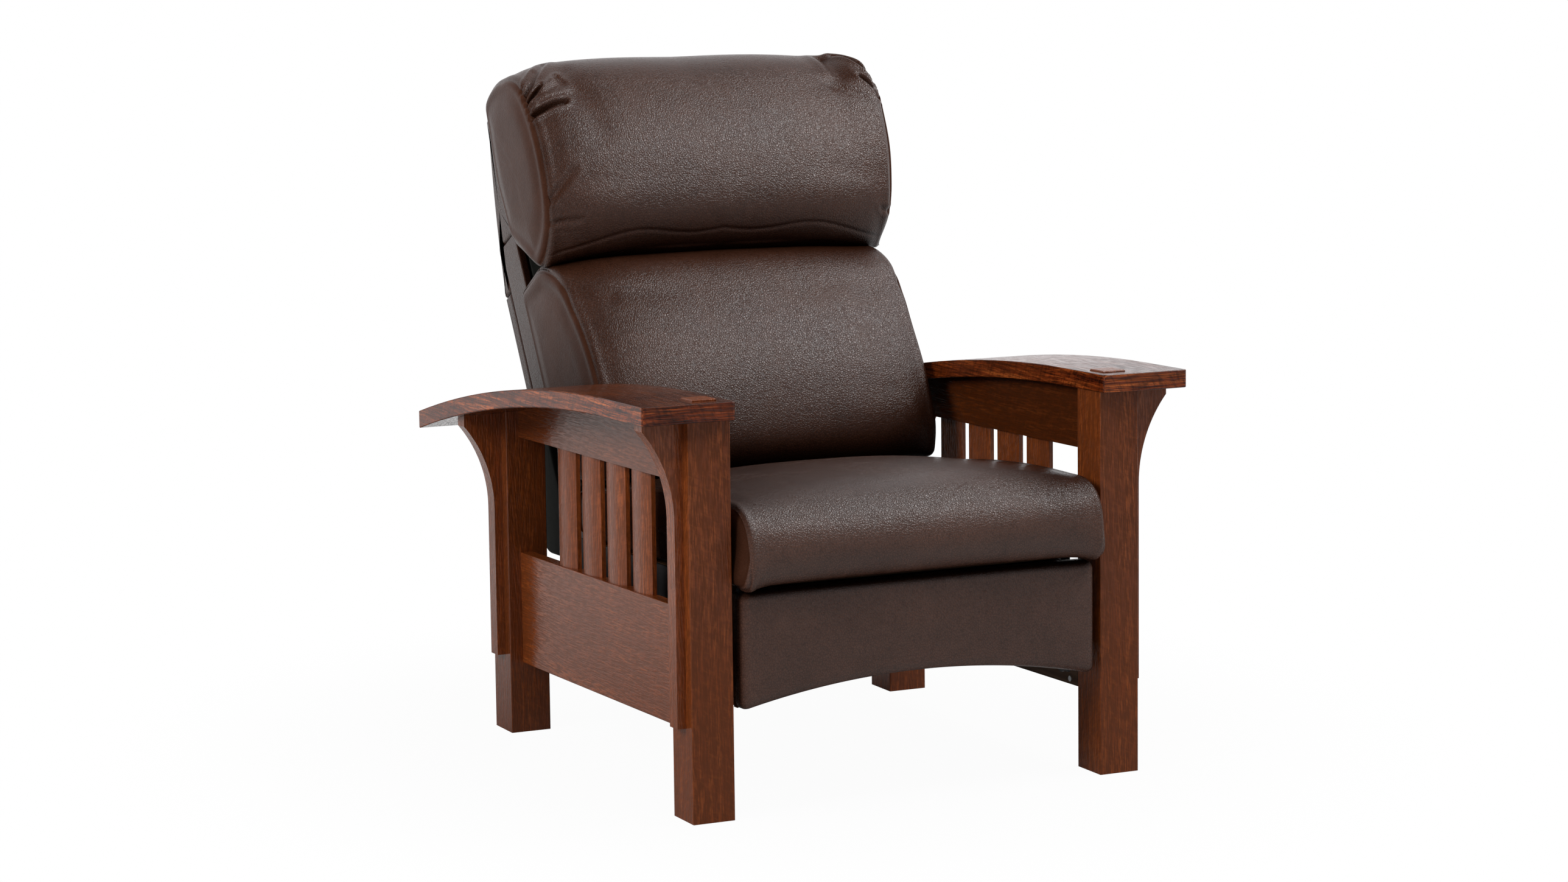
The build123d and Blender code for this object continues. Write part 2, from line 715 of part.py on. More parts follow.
# Reclining back, drawn upright about its pivot and then tilted
back_place = Pos(0, back_pivot_y, back_pivot_z) * Rot(-recline_angle, 0, 0)
back_post_rear = back_post_front + back_post_depth
back_post_inner = back_post_half - back_post_width
skin_inner = back_post_rear + back_skin_gap
cushion_rear = -back_deck_front - cushion_gap
back_post = block(back_post_inner, back_post_half, back_post_front, back_post_rear, -back_bracket_foot, back_frame_top)
parts["back_posts"] = moved(back_place, group(*both(back_post)))
back_rails = []
for start in (back_low_rail, back_mid_rail, back_frame_top - back_rail_height):
    back_rails.append(block(-back_post_inner, back_post_inner, back_post_front, back_post_rear,
                            start, start + back_rail_height))
parts["back_rails"] = moved(back_place, group(*back_rails))
parts["back_deck"] = back_place * block(-back_post_half, back_post_half, -back_deck_front, back_post_front,
                                        back_deck_start, back_frame_top)
bracket_outline = Polyline(
    (-back_bracket_ear, -back_bracket_foot), (back_post_rear, -back_bracket_foot),
    (back_post_rear, back_bracket_length), (back_post_front, back_bracket_length),
    (-back_bracket_ear, back_bracket_foot), close=True,
)
bracket_outer = back_post_half + back_bracket_thickness
back_bracket = across(make_face(bracket_outline), back_post_half, bracket_outer)
back_bracket -= rod(back_post_half - overrun, bracket_outer + overrun, 0, 0, back_pin_radius + running_clearance)
parts["back_brackets"] = moved(back_place, group(*both(back_bracket)))
back_pin = rod(back_post_half, plate_outer_half, 0, 0, back_pin_radius)
back_pin += rod(bracket_outer, plate_inner - back_spacer_clearance, 0, 0, back_spacer_radius)
parts["back_pivot_pins"] = moved(back_place, group(*both(back_pin)))

# Leather over the sides and the rear of the back
side_panel = block(bracket_outer + back_skin_gap, back_half_width, -back_deck_front, skin_inner,
                   back_skin_start, back_frame_top)
parts["back_side_right"] = back_place * side_panel
parts["back_side_left"] = mirrored(parts["back_side_right"])
parts["outside_back_lower"] = back_place * block(-back_half_width, back_half_width, skin_inner, back_skin_rear,
                                                 back_skin_start, back_skin_seam)
hem_rear = back_skin_rear + back_skin_hem
upper_curve = ThreePointArc(
    (hem_rear, back_skin_seam), (back_skin_middle_rear, back_skin_middle), (-back_skin_top_forward, back_skin_top))
upper_lines = Polyline(
    (-back_skin_top_forward, back_skin_top), (-back_deck_front, back_skin_top), (-back_deck_front, back_frame_top),
    (skin_inner, back_frame_top), (skin_inner, back_skin_seam), (hem_rear, back_skin_seam),
)
upper_face = bounded(upper_curve, *upper_lines.edges())
parts["outside_back_upper"] = back_place * across(upper_face, -back_half_width, back_half_width)


# Cloth-lined tail of the back, behind the seat
def tilted(rearward, along):
    """The y and z of a place given in the frame of the back."""
    tilt = math.radians(recline_angle)
    return (back_pivot_y + rearward * math.cos(tilt) + along * math.sin(tilt),
            back_pivot_z - rearward * math.sin(tilt) + along * math.cos(tilt))


tail_along = (tail_bottom_z - back_pivot_z + skin_inner * math.sin(math.radians(recline_angle))) / math.cos(
    math.radians(recline_angle))
tail_front = tilted(skin_inner, tail_along)
tail_rear_high = tilted(back_skin_rear, back_skin_start)
tail_turn = (tail_back_y - tail_corner * (1 - math.sqrt(1 / 2)), tail_bottom_z + tail_corner * (1 - math.sqrt(1 / 2)))
tail_face = bounded(
    ThreePointArc((tail_back_y, tail_bottom_z + tail_corner), tail_turn, (tail_back_y - tail_corner, tail_bottom_z)),
    *Polyline(
        (tail_back_y - tail_corner, tail_bottom_z), tail_front, tilted(skin_inner, back_skin_start),
        tail_rear_high, (tail_back_y, tail_bottom_z + tail_corner),
    ).edges(),
)
parts["back_tail_lining"] = across(tail_face, -tail_half_width, tail_half_width)

# Lumbar cushion, and the head pillow that rolls over the top of the back
lumbar_kinds = ("arc", "arc", "arc", "line", "line", "line")
parts["lumbar_cushion"] = back_place * cushion(
    lumbar_half_width, lumbar_end_puff, lumbar_seam_shares, lumbar_crown_shares, lumbar_kinds,
    (cushion_rear, lumbar_start), (-lumbar_depth, lumbar_height))
pillow_kinds = ("arc", "arc", "arc", "arc", "line", "line", "line")
parts["head_pillow"] = back_place * cushion(
    pillow_half_width, pillow_end_puff, pillow_seam_shares, pillow_crown_shares, pillow_kinds,
    (cushion_rear, pillow_start), (-pillow_depth, pillow_height))

# Lean the whole chair back on its shortened rear legs and centre it over the origin
leaned = {name: moved(Rot(-lean_angle, 0, 0), piece) for name, piece in parts.items()}
front_limit = min(piece.bounding_box().min.Y for piece in leaned.values())
rear_limit = max(piece.bounding_box().max.Y for piece in leaned.values())
centring = -(front_limit + rear_limit) / 2
for name, piece in leaned.items():
    export_step(moved(Pos(0, centring, 0), piece), "parts/" + name + ".step")
print("nodes", len(leaned), "centred by", round(centring, 4))
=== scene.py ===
import math

import bpy
import numpy as np
from mathutils import Matrix, Vector


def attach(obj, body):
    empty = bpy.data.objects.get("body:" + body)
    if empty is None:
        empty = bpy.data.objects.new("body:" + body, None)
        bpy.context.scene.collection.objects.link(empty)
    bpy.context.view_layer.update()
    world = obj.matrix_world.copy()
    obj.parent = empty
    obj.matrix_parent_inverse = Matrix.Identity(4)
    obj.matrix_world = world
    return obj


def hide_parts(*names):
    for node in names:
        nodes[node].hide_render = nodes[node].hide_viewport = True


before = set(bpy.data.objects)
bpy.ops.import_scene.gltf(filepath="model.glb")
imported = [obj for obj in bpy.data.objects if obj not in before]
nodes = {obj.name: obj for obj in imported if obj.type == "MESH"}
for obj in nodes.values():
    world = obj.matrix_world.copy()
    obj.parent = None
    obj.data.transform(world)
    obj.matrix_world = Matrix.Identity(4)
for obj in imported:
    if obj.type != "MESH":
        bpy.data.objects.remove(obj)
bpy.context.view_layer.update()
scene = bpy.context.scene
scene.view_settings.view_transform = "Standard"

# The chair is drawn square in millimetres, with the front posts' front face at y = 0 and
# their feet at z = 0, and leaned and centred as the CAD source does. The back is drawn
# upright from an origin of its own and reclined about it.
MM = 0.001
LEAN = math.radians(1.18)
RECLINE = math.radians(29.0)
BACK_ORIGIN = (630.0, 330.0)
CENTRING = -497.8233


def tipped(y, z, angle, origin=(0.0, 0.0)):
    """y and z after a turn backwards by angle and a move to an origin."""
    return (origin[0] + y * math.cos(angle) + z * math.sin(angle),
            origin[1] + z * math.cos(angle) - y * math.sin(angle))


def turned(points):
    """Directions in the chair's frame as directions in the row frame."""
    p = np.asarray(points, float)
    y, z = tipped(p[..., 1], p[..., 2], LEAN)
    return np.stack([p[..., 0], y, z], -1)


def row(points, back=False):
    """Places in the chair's frame, or (x, rearward, along) in the back's, in the row frame in
    metres."""
    p = np.array(points, float)
    if back:
        p[..., 1], p[..., 2] = tipped(p[..., 1], p[..., 2], RECLINE, BACK_ORIGIN)
    out = turned(p)
    out[..., 1] += CENTRING
    return out * MM


# ---------------------------------------------------------------- camera, light, floor
# The camera was solved from the frame's straight edges in the photograph
YAW, PITCH, ROLL = (math.radians(a) for a in (26.497, 7.398, -0.6945))
CAMERA_PLACE = (-2791.3, -5138.6, 1312.0)
PHOTO_WIDTH_PIXELS, FOCAL_PIXELS = 2576, 6391.1
SENSOR_MM = 36.0
FLOOR_HALF = 9                          # metres
FLOOR_TONE = 0.62
AMBIENT_STRENGTH = 0.12
# Each lamp's name, place, target and size in metres, power in watts, colour, and whether the
# gloss shows it too
LAMPS = (
    ("key", (1.72, -0.68, 2.62), (0, 0.1, 0.8), (1.3, 1.1), 42, (1.0, 0.985, 0.985), True),
    ("front", (-0.4, -1.5, 3.1), (0, 0, 0.5), (1.8, 1.2), 20, (1.0, 0.99, 0.975), False),
    ("left", (-3.0, -0.7, 2.1), (0, 0, 0.5), (1.5, 1.3), 48, (1.0, 0.985, 0.97), False),
    ("rim", (0.6, 2.8, 2.6), (0, 0.1, 0.6), (1.8, 1.0), 12, (1, 1, 1), False))
# Two soft panels that only the gloss shows: the way to each, the cosines at its rim and at its
# full core, and its strength
GLOSS_PANELS = (((0.67, -0.26, 0.69), 0.86, 0.97, 1.3), ((0.10, -0.78, 0.62), 0.82, 0.94, 0.9))


def photo_camera():
    forward = np.array([math.sin(YAW) * math.cos(PITCH), math.cos(YAW) * math.cos(PITCH),
                        -math.sin(PITCH)])
    level = np.array([math.cos(YAW), -math.sin(YAW), 0.0])
    above = np.cross(level, forward)
    right = level * math.cos(ROLL) + above * math.sin(ROLL)
    up = above * math.cos(ROLL) - level * math.sin(ROLL)
    camera = bpy.data.objects.new("camera", bpy.data.cameras.new("camera"))
    scene.collection.objects.link(camera)
    camera.data.sensor_width = SENSOR_MM
    camera.data.lens = FOCAL_PIXELS / PHOTO_WIDTH_PIXELS * SENSOR_MM
    camera.data.clip_start, camera.data.clip_end = 0.1, 60.0
    axes = [turned(v) for v in (right, up, -forward)]
    at = row(CAMERA_PLACE)
    camera.matrix_world = Matrix([[axes[0][i], axes[1][i], axes[2][i], at[i]] for i in range(3)]
                                 + [[0, 0, 0, 1]])
    scene.camera = camera


def lamp(name, place, target, size, power, colour, mirrored):
    """A soft lamp. The gloss shows only a mirrored one, and has its other highlights from the
    world."""
    light = bpy.data.lights.new(name, "AREA")
    light.shape = "RECTANGLE"
    light.size, light.size_y = size
    light.energy = power
    light.color = colour
    ob = bpy.data.objects.new(name, light)
    scene.collection.objects.link(ob)
    ob.visible_glossy = mirrored
    ob.location = place
    ob.rotation_euler = (Vector(target) - Vector(place)).to_track_quat("-Z", "Y").to_euler()


class Tree:
    """Short ways to add and join shader nodes, in a tree that starts empty."""

    def __init__(self, tree):
        self.tree = tree
        tree.nodes.clear()

    def add(self, kind, inputs=(), **settings):
        node = self.tree.nodes.new(kind)
        for key, value in settings.items():
            setattr(node, key, value)
        for key, value in dict(inputs).items():
            self.fill(node.inputs[key], value)
        return node

    def fill(self, socket, value):
        if isinstance(value, bpy.types.NodeSocket):
            self.tree.links.new(value, socket)
        else:
            socket.default_value = value

    def math(self, operation, a, b=0.0):
        return self.add("ShaderNodeMath", {0: a, 1: b}, operation=operation).outputs[0]

    def product(self, a, b):
        return self.math("MULTIPLY", a, b)

    def total(self, a, b):
        return self.math("ADD", a, b)

    def blend(self, a, share_a, b, share_b):
        return self.total(self.product(a, share_a), self.product(b, share_b))

    def vector(self, operation, a, b):
        """The vector that an operation gives, or the number, for a dot product."""
        node = self.add("ShaderNodeVectorMath", {0: a, 1: b}, operation=operation)
        return node.outputs[1 if operation == "DOT_PRODUCT" else 0]

    def split(self, vector):
        return self.add("ShaderNodeSeparateXYZ", {0: vector}).outputs

    def joined(self, x, y, z):
        return self.add("ShaderNodeCombineXYZ", {0: x, 1: y, 2: z}).outputs[0]

    def colour(self, red, green, blue):
        return self.add("ShaderNodeCombineColor", {0: red, 1: green, 2: blue}).outputs[0]

    def mix(self, amount, a, b, blend="MIX"):
        node = self.add("ShaderNodeMix", data_type="RGBA", blend_type=blend)
        for key, value in ((0, amount), (6, a), (7, b)):
            self.fill(node.inputs[key], value)
        return node.outputs[2]

    def times(self, colour, amount):
        """A colour, made darker or paler by a number."""
        return self.mix(1.0, colour, self.colour(amount, amount, amount), "MULTIPLY")

    def ramp(self, value, *stops):
        node = self.add("ShaderNodeValToRGB", {0: value})
        elements = node.color_ramp.elements
        while len(elements) < len(stops):
            elements.new(0.5)
        for element, (place, colour) in zip(elements, stops):
            element.position = place
            element.color = (*colour, 1)
        return node.outputs[0]

    def span(self, value, low, high, to_low=0.0, to_high=1.0, kind="LINEAR"):
        return self.add("ShaderNodeMapRange", {0: value, 1: low, 2: high, 3: to_low, 4: to_high},
                        interpolation_type=kind).outputs[0]

    def noise(self, vector, scale, detail=4.0, rough=0.5, distortion=0.0):
        return self.add("ShaderNodeTexNoise", {"Vector": vector, "Scale": scale, "Detail": detail,
                                               "Roughness": rough,
                                               "Distortion": distortion}).outputs[0]

    def geometry(self, output):
        return self.add("ShaderNodeNewGeometry").outputs[output]

    def bump(self, height, distance, strength, normal=None):
        inputs = {"Height": height, "Distance": distance, "Strength": strength}
        if normal is not None:
            inputs["Normal"] = normal
        return self.add("ShaderNodeBump", inputs).outputs[0]

    def surface(self, colour, roughness, normal, **others):
        """A Principled surface as the material's output."""
        inputs = {"Base Color": colour, "Roughness": roughness, "Normal": normal}
        for key, value in others.items():
            inputs[key.replace("_", " ")] = value
        self.output("Material", self.add("ShaderNodeBsdfPrincipled", inputs))

    def output(self, kind, node):
        self.add("ShaderNodeOutput" + kind, {0: node.outputs[0]})


def studio_world():
    """White for the camera, dim for the light, and for the gloss a room of its own: pale walls at
    the left and behind, dark in front and above, and two soft panels high up."""
    world = bpy.data.worlds.new("studio")
    scene.world = world
    world.use_nodes = True
    t = Tree(world.node_tree)
    path = t.add("ShaderNodeLightPath").outputs
    heading = t.add("ShaderNodeTexCoord").outputs["Generated"]
    rearward, upward = t.split(heading)[1], t.split(heading)[2]
    seen = t.math("MAXIMUM", path["Is Camera Ray"], path["Is Glossy Ray"])
    seen = t.math("MAXIMUM", seen, path["Is Transmission Ray"])
    dome = t.ramp(upward, (0.0, (1, 1, 1)), (0.16, (1, 1, 1)), (0.34, (0.30, 0.30, 0.305)),
                  (1.0, (0.16, 0.16, 0.165)))
    low = t.math("MAXIMUM", t.span(upward, 0.14, 0.36, 1.0, 0.06),
                 t.span(rearward, 0.05, 0.5, 0.0, 0.85))
    haze = t.product(t.span(rearward, -0.45, 0.35, 0.10, 1.0), low)
    for toward, rim, core, strength in GLOSS_PANELS:
        near = t.vector("DOT_PRODUCT", heading, toward)
        haze = t.total(haze, t.span(near, rim, core, 0.0, strength, "SMOOTHSTEP"))
    haze = t.colour(haze, t.product(haze, 0.985), haze)
    dome = t.mix(path["Is Glossy Ray"], dome, haze)
    backdrop = t.add("ShaderNodeBackground", {0: dome, 1: 1.0})
    ambient = t.add("ShaderNodeBackground", {0: (0.97, 0.98, 1.0, 1), 1: AMBIENT_STRENGTH})
    t.output("World", t.add("ShaderNodeMixShader", {0: seen, 1: ambient.outputs[0],
                                                    2: backdrop.outputs[0]}))


def material(name):
    made = bpy.data.materials.new(name)
    made.use_nodes = True
    tree = Tree(made.node_tree)
    return made, tree, tree.add("ShaderNodeTexCoord").outputs["Object"]


def studio_floor():
    """A matt floor that keeps the chair's shadow, white to the camera, and to the gloss only behind
    the chair and far round it."""
    h = FLOOR_HALF
    data = bpy.data.meshes.new("floor")
    data.from_pydata([(-h, -h, 0), (h, -h, 0), (h, h, 0), (-h, h, 0)], [], [(0, 1, 2, 3)])
    floor = bpy.data.objects.new("floor", data)
    scene.collection.objects.link(floor)
    pale, t, ground = material("floor")
    path = t.add("ShaderNodeLightPath").outputs
    seen = t.math("MAXIMUM", path["Is Camera Ray"], path["Is Transmission Ray"])
    apart = t.add("ShaderNodeVectorMath", {0: ground}, operation="LENGTH").outputs[1]
    rear = t.span(t.split(ground)[1], 0.2, 1.6, 0.05, 0.85)
    mirrored = t.product(path["Is Glossy Ray"],
                         t.math("MAXIMUM", rear, t.span(apart, 1.5, 2.5, 0.02, 0.75)))
    clear = t.product(seen, t.span(apart, 0.45, 1.2, 0.965, 1.0, "SMOOTHSTEP"))
    matt = t.add("ShaderNodeBsdfDiffuse", {0: (FLOOR_TONE, FLOOR_TONE, FLOOR_TONE, 1)})
    glow = t.add("ShaderNodeEmission", {0: (1, 1, 1, 1), 1: 1.0})
    t.output("Material", t.add("ShaderNodeMixShader", {0: t.math("MAXIMUM", clear, mirrored),
                                                       1: matt.outputs[0], 2: glow.outputs[0]}))
    data.materials.append(pale)


photo_camera()
for each in LAMPS:
    lamp(*each)
studio_world()
studio_floor()


# ---------------------------------------------------------------- materials
# Base colours are linear. The stain has three, for the dark, the even and the pale grain
STAIN = ((0.0330, 0.0042, 0.0009), (0.0980, 0.0172, 0.0032), (0.2200, 0.0520, 0.0105))
# The rays' pale fleck, and the paler colour of a painted highlight along the edges
STAIN_FLECK, STAIN_EDGE_HIGHLIGHT = (0.230, 0.056, 0.011), (0.230, 0.058, 0.014)
HIDE_LOW, HIDE_HIGH = (0.0570, 0.0200, 0.0100), (0.0790, 0.0290, 0.0155)
HAZE_GREY_LOW, HAZE_GREY_HIGH = 0.036, 0.062
SAWN_END = 0.7
RAY_SLANT = 0.55
WEAVE = 5200.0                          # radians to a metre


def scaled(colour, tone):
    return tuple(c * tone for c in colour)


def shifted(seed, turns, step):
    """An offset of the grain's pattern that is each piece's own."""
    return tuple(((seed * k) % turns) * step for k in (3, 5, 7))


def oak(name, along, seed, tone, boards=None, gloss=0.32, dash=42.0, contrast=(0.14, 2.15),
        fleck=0.55, relief=0.45, edge=None):
    """Quarter-sawn oak under a red-brown stain, its grain along one axis.

    boards, a start and a step in y, gives each slat a figure of its own. dash is how short the
    grain's lines are, contrast how dark and how pale they get, fleck the strength of the rays and
    relief that of the open grain. edge makes an arm's upright faces paler than its upper face,
    partly as its edge grain and partly as painted light, and its lines run across on the sawn
    ends."""
    made, tree, place = material(name)
    shift = shifted(seed, 17, 0.37)
    place = tree.vector("ADD", place, shift)
    if edge:
        facing = tree.split(tree.geometry("Normal"))
        x, y, z = tree.split(place)
        sawn = tree.math("GREATER_THAN", tree.math("ABSOLUTE", facing[1]), SAWN_END)
        place = tree.mix(sawn, place, tree.joined(y, x, z))
    if boards:
        start, step = boards
        board = tree.math("SUBTRACT", tree.split(place)[1], start + shift[1])
        board = tree.math("FLOOR", tree.math("DIVIDE", board, step))
        own = tree.add("ShaderNodeTexWhiteNoise", {"W": board}, noise_dimensions="1D").outputs[1]
        place = tree.vector("ADD", place, own)
    parts = tree.split(place)
    order = {"x": (0, 1, 2), "y": (1, 0, 2), "z": (2, 0, 1)}[along]
    run, across, deep = (parts[k] for k in order)
    wave = tree.product(tree.noise(place, 5.0, 2, 0.5), 0.012)
    wide = tree.total(tree.total(across, deep), wave)
    thick = tree.math("SUBTRACT", across, deep)

    def drawn(long, short):
        """A place for noise that is drawn out along the grain, in spots to a metre."""
        return tree.joined(tree.product(run, long), tree.product(wide, short),
                           tree.product(thick, short * 0.5))

    lines = tree.span(tree.noise(drawn(dash, 320.0), 1.0, 2, 0.5), 0.40, 0.60)
    streaks = tree.span(tree.noise(drawn(7.0, 165.0), 1.0, 3, 0.6), 0.34, 0.66)
    pores = tree.noise(drawn(34.0, 640.0), 1.0, 2, 0.6)
    bands = tree.span(tree.noise(drawn(1.4, 34.0), 1.0, 3, 0.55, 0.6), 0.3, 0.7)
    cloud = tree.noise(place, 6.5, 3, 0.5)
    ray = tree.total(run, tree.product(wide, RAY_SLANT))
    skew = tree.math("SUBTRACT", wide, tree.product(run, RAY_SLANT))
    rays = tree.joined(tree.product(ray, 150.0), tree.product(skew, 34.0),
                       tree.product(thick, 40.0))
    flecks = tree.noise(rays, 1.0, 3, 0.6, 0.6)

    value = tree.blend(streaks, 0.58, bands, 0.42)
    value = tree.total(value, tree.product(tree.math("SUBTRACT", cloud, 0.5), 0.5))
    stain = tree.ramp(value, *zip((0.18, 0.50, 0.82), (scaled(c, tone) for c in STAIN)))
    dark = tree.product(tree.span(pores, 0.38, 0.48, 0.30, 1.0),
                        tree.span(flecks, 0.38, 0.52, 0.55, 1.0))
    stain = tree.times(stain, tree.product(dark, tree.span(lines, 0.0, 1.0, *contrast)))
    # An arm's upright faces are made paler than its upper face, partly as its edge grain and partly
    # as painted light.
    if edge:
        level = tree.math("ABSOLUTE", facing[2])
        stain = tree.times(stain, tree.span(level, 0.3, 0.7, edge, 1.0))
    pale = tree.product(tree.span(flecks, 0.56, 0.70), fleck)
    stain = tree.mix(pale, stain, (*scaled(STAIN_FLECK, tone), 1))
    # Painted highlight: the sharp edges are paler, as if they caught the light.
    edge_wear_and_highlight = tree.product(tree.span(tree.geometry("Pointiness"), 0.51, 0.60), 0.6)
    stain = tree.mix(edge_wear_and_highlight, stain, (*scaled(STAIN_EDGE_HIGHLIGHT, tone), 1))
    rough = tree.span(tree.blend(lines, 0.6, flecks, 0.4), 0.30, 0.70, 0.27, 0.14)
    normal = tree.bump(tree.blend(pores, 0.7, lines, 0.4), 0.0010, relief)
    tree.surface(stain, rough, normal, Specular_IOR_Level=gloss)
    return made


def leather(name, tone, pebble=1.0, painted_haze=0.0, gloss=0.5, top=1.0):
    """Dark brown pebbled leather, or its smoother grade with less pebble. grey mixes in a neutral
    colour, a painted haze of reflection, and top is how much of its tone the hide keeps where it
    faces up, a painted shade on its upward faces. Where two cushions meet it is darkened with
    painted shade and loses its gloss."""
    made, tree, place = material(name)
    wander = tree.add("ShaderNodeTexNoise", {"Vector": place, "Scale": 160.0,
                                             "Detail": 2.0}).outputs[1]
    wander = tree.vector("SUBTRACT", wander, (0.5, 0.5, 0.5))
    wander = tree.add("ShaderNodeVectorMath", {0: wander, "Scale": 0.0040},
                      operation="SCALE").outputs[0]
    bent = tree.vector("MULTIPLY", tree.vector("ADD", place, wander), (1.0, 0.82, 0.82))
    cells, small = (tree.add("ShaderNodeTexVoronoi", {"Vector": bent, "Scale": scale,
                                                      "Randomness": uneven},
                             feature="DISTANCE_TO_EDGE").outputs[0]
                    for scale, uneven in ((300.0, 0.95), (760.0, 1.0)))
    domes = tree.math("POWER", tree.span(cells, 0.0, 0.34), 0.7)
    domes = tree.blend(domes, 0.8, tree.span(small, 0.0, 0.3), 0.2)
    fine = tree.noise(place, 2300, 3, 0.6)
    broad = tree.noise(place, 7, 4, 0.55, 0.4)
    patch = tree.noise(place, 42, 3, 0.5)

    # The neutral colour mixed in paints the pale haze of a reflection into the hide.
    low, high = ([c + (to - c) * painted_haze for c in scaled(hide, tone)]
                 for hide, to in ((HIDE_LOW, HAZE_GREY_LOW), (HIDE_HIGH, HAZE_GREY_HIGH)))
    colour = tree.ramp(tree.blend(broad, 0.65, patch, 0.35), (0.36, low), (0.64, high))
    # Painted shade: the hollows between the pebbles are darker.
    colour = tree.times(colour, tree.span(domes, 0.0, 0.6, 1.0 - 0.62 * pebble, 1.0))
    # Painted shade on the upward faces, which leaves the hide paler on its fronts.
    if top != 1.0:
        upward = tree.split(tree.geometry("Normal"))[2]
        colour = tree.times(colour, tree.span(upward, 0.15, 0.75, 1.0, top))
    # Painted shade: the hide darkens where it is hemmed in, as where two cushions meet, and its
    # gloss is turned down there.
    open_air = tree.add("ShaderNodeAmbientOcclusion", {"Distance": 0.20}, samples=6).outputs["AO"]
    colour = tree.times(colour, tree.span(open_air, 0.30, 0.92, 0.38, 1.0))
    gloss = tree.span(open_air, 0.45, 0.95, gloss * 0.10, gloss)
    # Wear makes the edges paler.
    edge_wear_and_highlight = tree.product(tree.span(tree.geometry("Pointiness"), 0.52, 0.60), 0.25)
    colour = tree.mix(edge_wear_and_highlight, colour, (*scaled(high, 1.5), 1))
    rough = tree.span(tree.blend(broad, 0.6, fine, 0.4), 0.35, 0.65, 0.20, 0.30)
    normal = tree.bump(patch, 0.0009, 0.35)
    normal = tree.bump(tree.blend(domes, pebble, fine, 0.10), 0.0010, 0.50, normal)
    tree.surface(colour, rough, normal, Specular_IOR_Level=gloss)
    return made


def lining(name):
    """Thin dark dust cloth with a plain weave."""
    made, tree, place = material(name)
    warp, weft = (tree.math("SINE", tree.product(tree.vector("DOT_PRODUCT", place, axis), WEAVE))
                  for axis in ((1, 0, 0), (0, 0.6, 0.8)))
    broad = tree.noise(place, 11, 4, 0.6)
    colour = tree.ramp(broad, (0.35, (0.020, 0.021, 0.019)), (0.68, (0.041, 0.044, 0.039)))
    normal = tree.bump(tree.product(warp, weft), 0.0002, 0.5)
    normal = tree.bump(tree.noise(place, 60, 3, 0.6), 0.001, 0.4, normal)
    tree.surface(colour, tree.span(broad, 0.3, 0.7, 0.86, 0.95), normal, Specular_IOR_Level=0.25)
    return made


def metal(name, colour, rough, metallic=1.0, streak=(1.0, 1.0, 1.0)):
    """Plated or painted steel, with fine scratches and a little tarnish."""
    made, tree, place = material(name)
    fine = tree.noise(tree.vector("MULTIPLY", place, streak), 900, 4, 0.6)
    broad = tree.noise(place, 22, 4, 0.6)
    tint = tree.ramp(broad, (0.35, scaled(colour, 0.72)), (0.65, colour))
    value = tree.span(tree.blend(fine, 0.6, broad, 0.4), 0.35, 0.65, rough - 0.09, rough + 0.11)
    tree.surface(tint, value, tree.bump(fine, 0.0001, 0.4), Metallic=metallic)
    return made


def nylon(name):
    made, tree, place = material(name)
    fine = tree.noise(place, 700, 3, 0.5)
    broad = tree.noise(place, 30, 3, 0.5)
    tint = tree.ramp(broad, (0.35, (0.60, 0.58, 0.52)), (0.65, (0.74, 0.72, 0.66)))
    tree.surface(tint, tree.span(fine, 0.3, 0.7, 0.38, 0.52), tree.bump(fine, 0.0001, 0.3))
    return made


def plain_wood(name, along, seed):
    """Hidden frame timber under a thin dark stain."""
    made, tree, place = material(name)
    stretch = [1.0, 1.0, 1.0]
    stretch["xyz".index(along)] = 0.04
    place = tree.vector("ADD", place, shifted(seed, 13, 0.41))
    streaks = tree.noise(tree.vector("MULTIPLY", place, stretch), 120, 4, 0.6, 0.5)
    tint = tree.ramp(streaks, (0.32, (0.050, 0.022, 0.010)), (0.55, (0.085, 0.042, 0.020)),
                     (0.72, (0.130, 0.070, 0.036)))
    tree.surface(tint, tree.span(streaks, 0.3, 0.7, 0.72, 0.60), tree.bump(streaks, 0.0004, 0.4),
                 Specular_IOR_Level=0.3)
    return made


def paint(made, *names):
    for name in names:
        data = nodes[name].data
        if not data.materials:
            data.materials.append(made)
        for i in range(len(data.materials)):
            data.materials[i] = made


# edge paints the arms' upright faces paler, partly as edge grain and partly as painted light.
ARM_GRAIN = {"dash": 26.0, "contrast": (0.52, 1.32), "fleck": 0.25, "relief": 0.22, "edge": 3.0}
FRONT_POST_GRAIN = {"gloss": 0.22}
# A piece's tone is partly the wood's own variation and partly painted light and shade: the right
# upper rail, which lies in its arm's shade, is painted darkest.
OAK_PIECES = (
    ("front_post_right", "z", 1.2, FRONT_POST_GRAIN),
    ("front_post_left", "z", 1.2, FRONT_POST_GRAIN),
    ("rear_post_right", "z", 1.2, {}), ("rear_post_left", "z", 0.95, {}),
    ("arm_right", "y", 0.88, ARM_GRAIN), ("arm_left", "y", 0.88, ARM_GRAIN),
    ("lower_rail_right", "y", 1.25, {}), ("lower_rail_left", "y", 1.25, {}),
    ("upper_rail_right", "y", 0.60, {}), ("upper_rail_left", "y", 1.0, {}),
    ("front_corbel_right", "z", 1.35, {}), ("front_corbel_left", "z", 1.4, {}),
    ("rear_corbel_right", "z", 1.0, {}), ("rear_corbel_left", "z", 1.15, {}),
    ("rear_rail", "x", 1.0, {}))
TIMBER_PIECES = (
    ("front_stretcher", "x"), ("cleat_right", "y"), ("cleat_left", "y"), ("seat_side_rails", "y"),
    ("seat_front_rail", "x"), ("seat_rear_rail", "x"), ("seat_front_board", "x"),
    ("back_posts", "z"), ("back_rails", "x"), ("footrest_board", "x"))
# Each slat gets a figure of its own. In mm: the first one's front edge, half the gap between two,
# and the height at which the place is taken. The pitch is in metres
FIRST_SLAT, SLAT_MARGIN, SLAT_HEIGHT = 193.5, 11.75, 400
SLAT_PITCH = 0.0955

